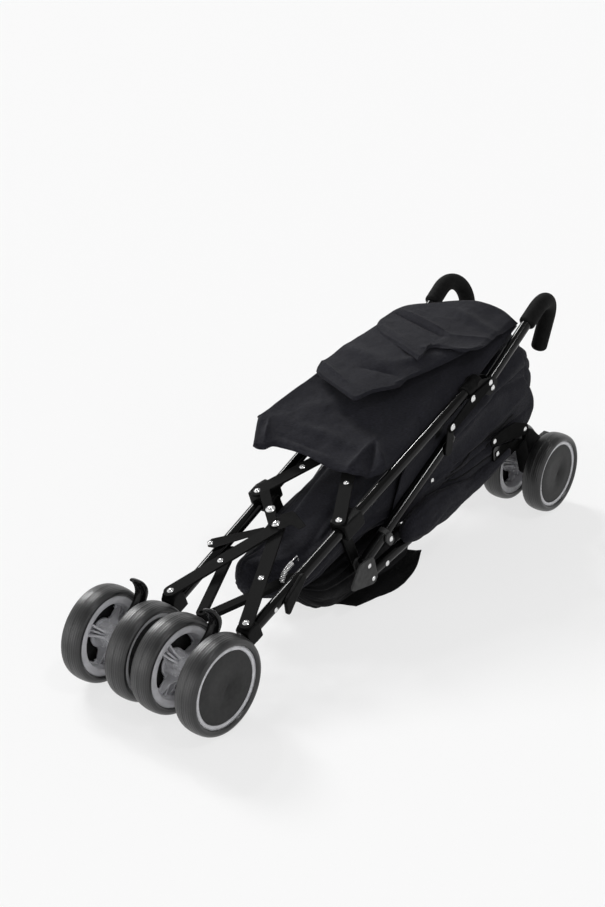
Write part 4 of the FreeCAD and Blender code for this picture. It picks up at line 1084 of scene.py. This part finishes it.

# Cloth between the side frames: each piece's place is baked into its mesh, and the nodes it stands for are
# hidden
for thing, slot_name, *nodes in ((layers[0], "cloth", "canopy"), (layers[1], "cloth"), (layers[2], "cloth"),
                                 (piping, "cloth"), (seat, "cloth", "seat_fabric"),
                                 (basket_piece, "basket_cloth", "basket"), (basket_floor, "basket_cloth")):
    at("left", 0, 400, 0)
    at("right", 0, 400, 0)
    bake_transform(thing)
    if nodes:
        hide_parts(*nodes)


# Floor, light and camera
def soft_sun(label, toward, strength, spread_angle):
    """A wide, even light that comes from a direction."""
    data = bpy.data.lights.new(label, "SUN")
    data.energy = strength
    data.angle = math.radians(spread_angle)
    made = placed(label, data)
    made.location = Vector(toward) * 3
    made.rotation_mode = "QUATERNION"
    made.rotation_quaternion = (-Vector(toward)).to_track_quat("-Z", "Y")


FLOOR = 40
FLOOR_GLOW = 0.76
PALE = (0.93, 0.93, 0.93, 1)
WALL_SIDES = 48
WALL_REACH = 0.98 * FLOOR
WALL_LEVELS = (-0.5, 30)
WORLD_LIGHT = 0.34
# Direction, strength and width in degrees
SUNS = (("overhead_left", (-0.95, 0.3, 0.75), 2.2, 16), ("front_left", (-0.5, -0.85, 0.3), 0.5, 30),
        ("right_fill", (0.9, -0.45, 0.45), 0.5, 40), ("tube_strip", (-0.57, 0.34, 0.73), 0.45, 4),
        ("strut_strip", (0.45, -0.01, 0.9), 0.45, 5), ("tyre_strip", (-0.53, -0.82, 0.22), 0.9, 18))
floor_mesh = bpy.data.meshes.new("floor")
floor_mesh.from_pydata([(-FLOOR, -FLOOR, 0), (FLOOR, -FLOOR, 0), (FLOOR, FLOOR, 0), (-FLOOR, FLOOR, 0)], [],
                       [(0, 1, 2, 3)])
floor = placed("floor", floor_mesh)
paper, paper_tree, paper_shader = new_material("studio_paper")
paper_shader.inputs["Base Color"].default_value = (0.86, 0.86, 0.86, 1)
paper_shader.inputs["Roughness"].default_value = 0.9
paper_shader.inputs["Specular IOR Level"].default_value = 0.1
seen = paper_tree.nodes.new("ShaderNodeLightPath")
either = math_of(paper_tree, "MAXIMUM", seen.outputs["Is Camera Ray"], seen.outputs["Is Glossy Ray"])
share = math_of(paper_tree, "MULTIPLY", either, FLOOR_GLOW)
glow = paper_tree.nodes.new("ShaderNodeEmission")
glow.inputs["Color"].default_value = PALE
blend = paper_tree.nodes.new("ShaderNodeMixShader")
paper_tree.links.new(share, blend.inputs["Fac"])
paper_tree.links.new(paper_shader.outputs["BSDF"], blend.inputs[1])
paper_tree.links.new(glow.outputs["Emission"], blend.inputs[2])
paper_tree.links.new(blend.outputs["Shader"], paper_tree.nodes["Material Output"].inputs["Surface"])
floor_mesh.materials.append(paper)

# A pale wall far behind, which only the camera and reflections meet
wall_mesh = bpy.data.meshes.new("wall")
turns = [math.tau * k / WALL_SIDES for k in range(WALL_SIDES)]
ring = [(WALL_REACH * math.cos(a), WALL_REACH * math.sin(a)) for a in turns]
wall_mesh.from_pydata([(x, y, z) for z in WALL_LEVELS for x, y in ring], [],
                      [(k, (k + 1) % WALL_SIDES, WALL_SIDES + (k + 1) % WALL_SIDES, WALL_SIDES + k)
                       for k in range(WALL_SIDES)])
wall = placed("wall", wall_mesh)
wall_paint, _, wall_shader = new_material("pale_wall")
wall_shader.inputs["Base Color"].default_value = (0, 0, 0, 1)
wall_shader.inputs["Specular IOR Level"].default_value = 0
wall_shader.inputs["Emission Color"].default_value = PALE
wall_shader.inputs["Emission Strength"].default_value = 1
wall_mesh.materials.append(wall_paint)
wall.visible_diffuse = False
wall.visible_shadow = False

world = bpy.data.worlds.new("studio")
world.use_nodes = True
world.node_tree.nodes["Background"].inputs["Color"].default_value = (1, 1, 1, 1)
world.node_tree.nodes["Background"].inputs["Strength"].default_value = WORLD_LIGHT
bpy.context.scene.world = world
for sun in SUNS:
    soft_sun(*sun)

camera_data = bpy.data.cameras.new("photo_camera")
camera_data.sensor_width = SENSOR
camera_data.lens = SENSOR * FOCAL / PHOTO[1]
camera = placed("photo_camera", camera_data)
camera.location = EYE
camera.rotation_mode = "QUATERNION"
camera.rotation_quaternion = look().to_track_quat("-Z", "Y")
bpy.context.scene.camera = camera
bpy.context.scene.view_settings.view_transform = "Standard"
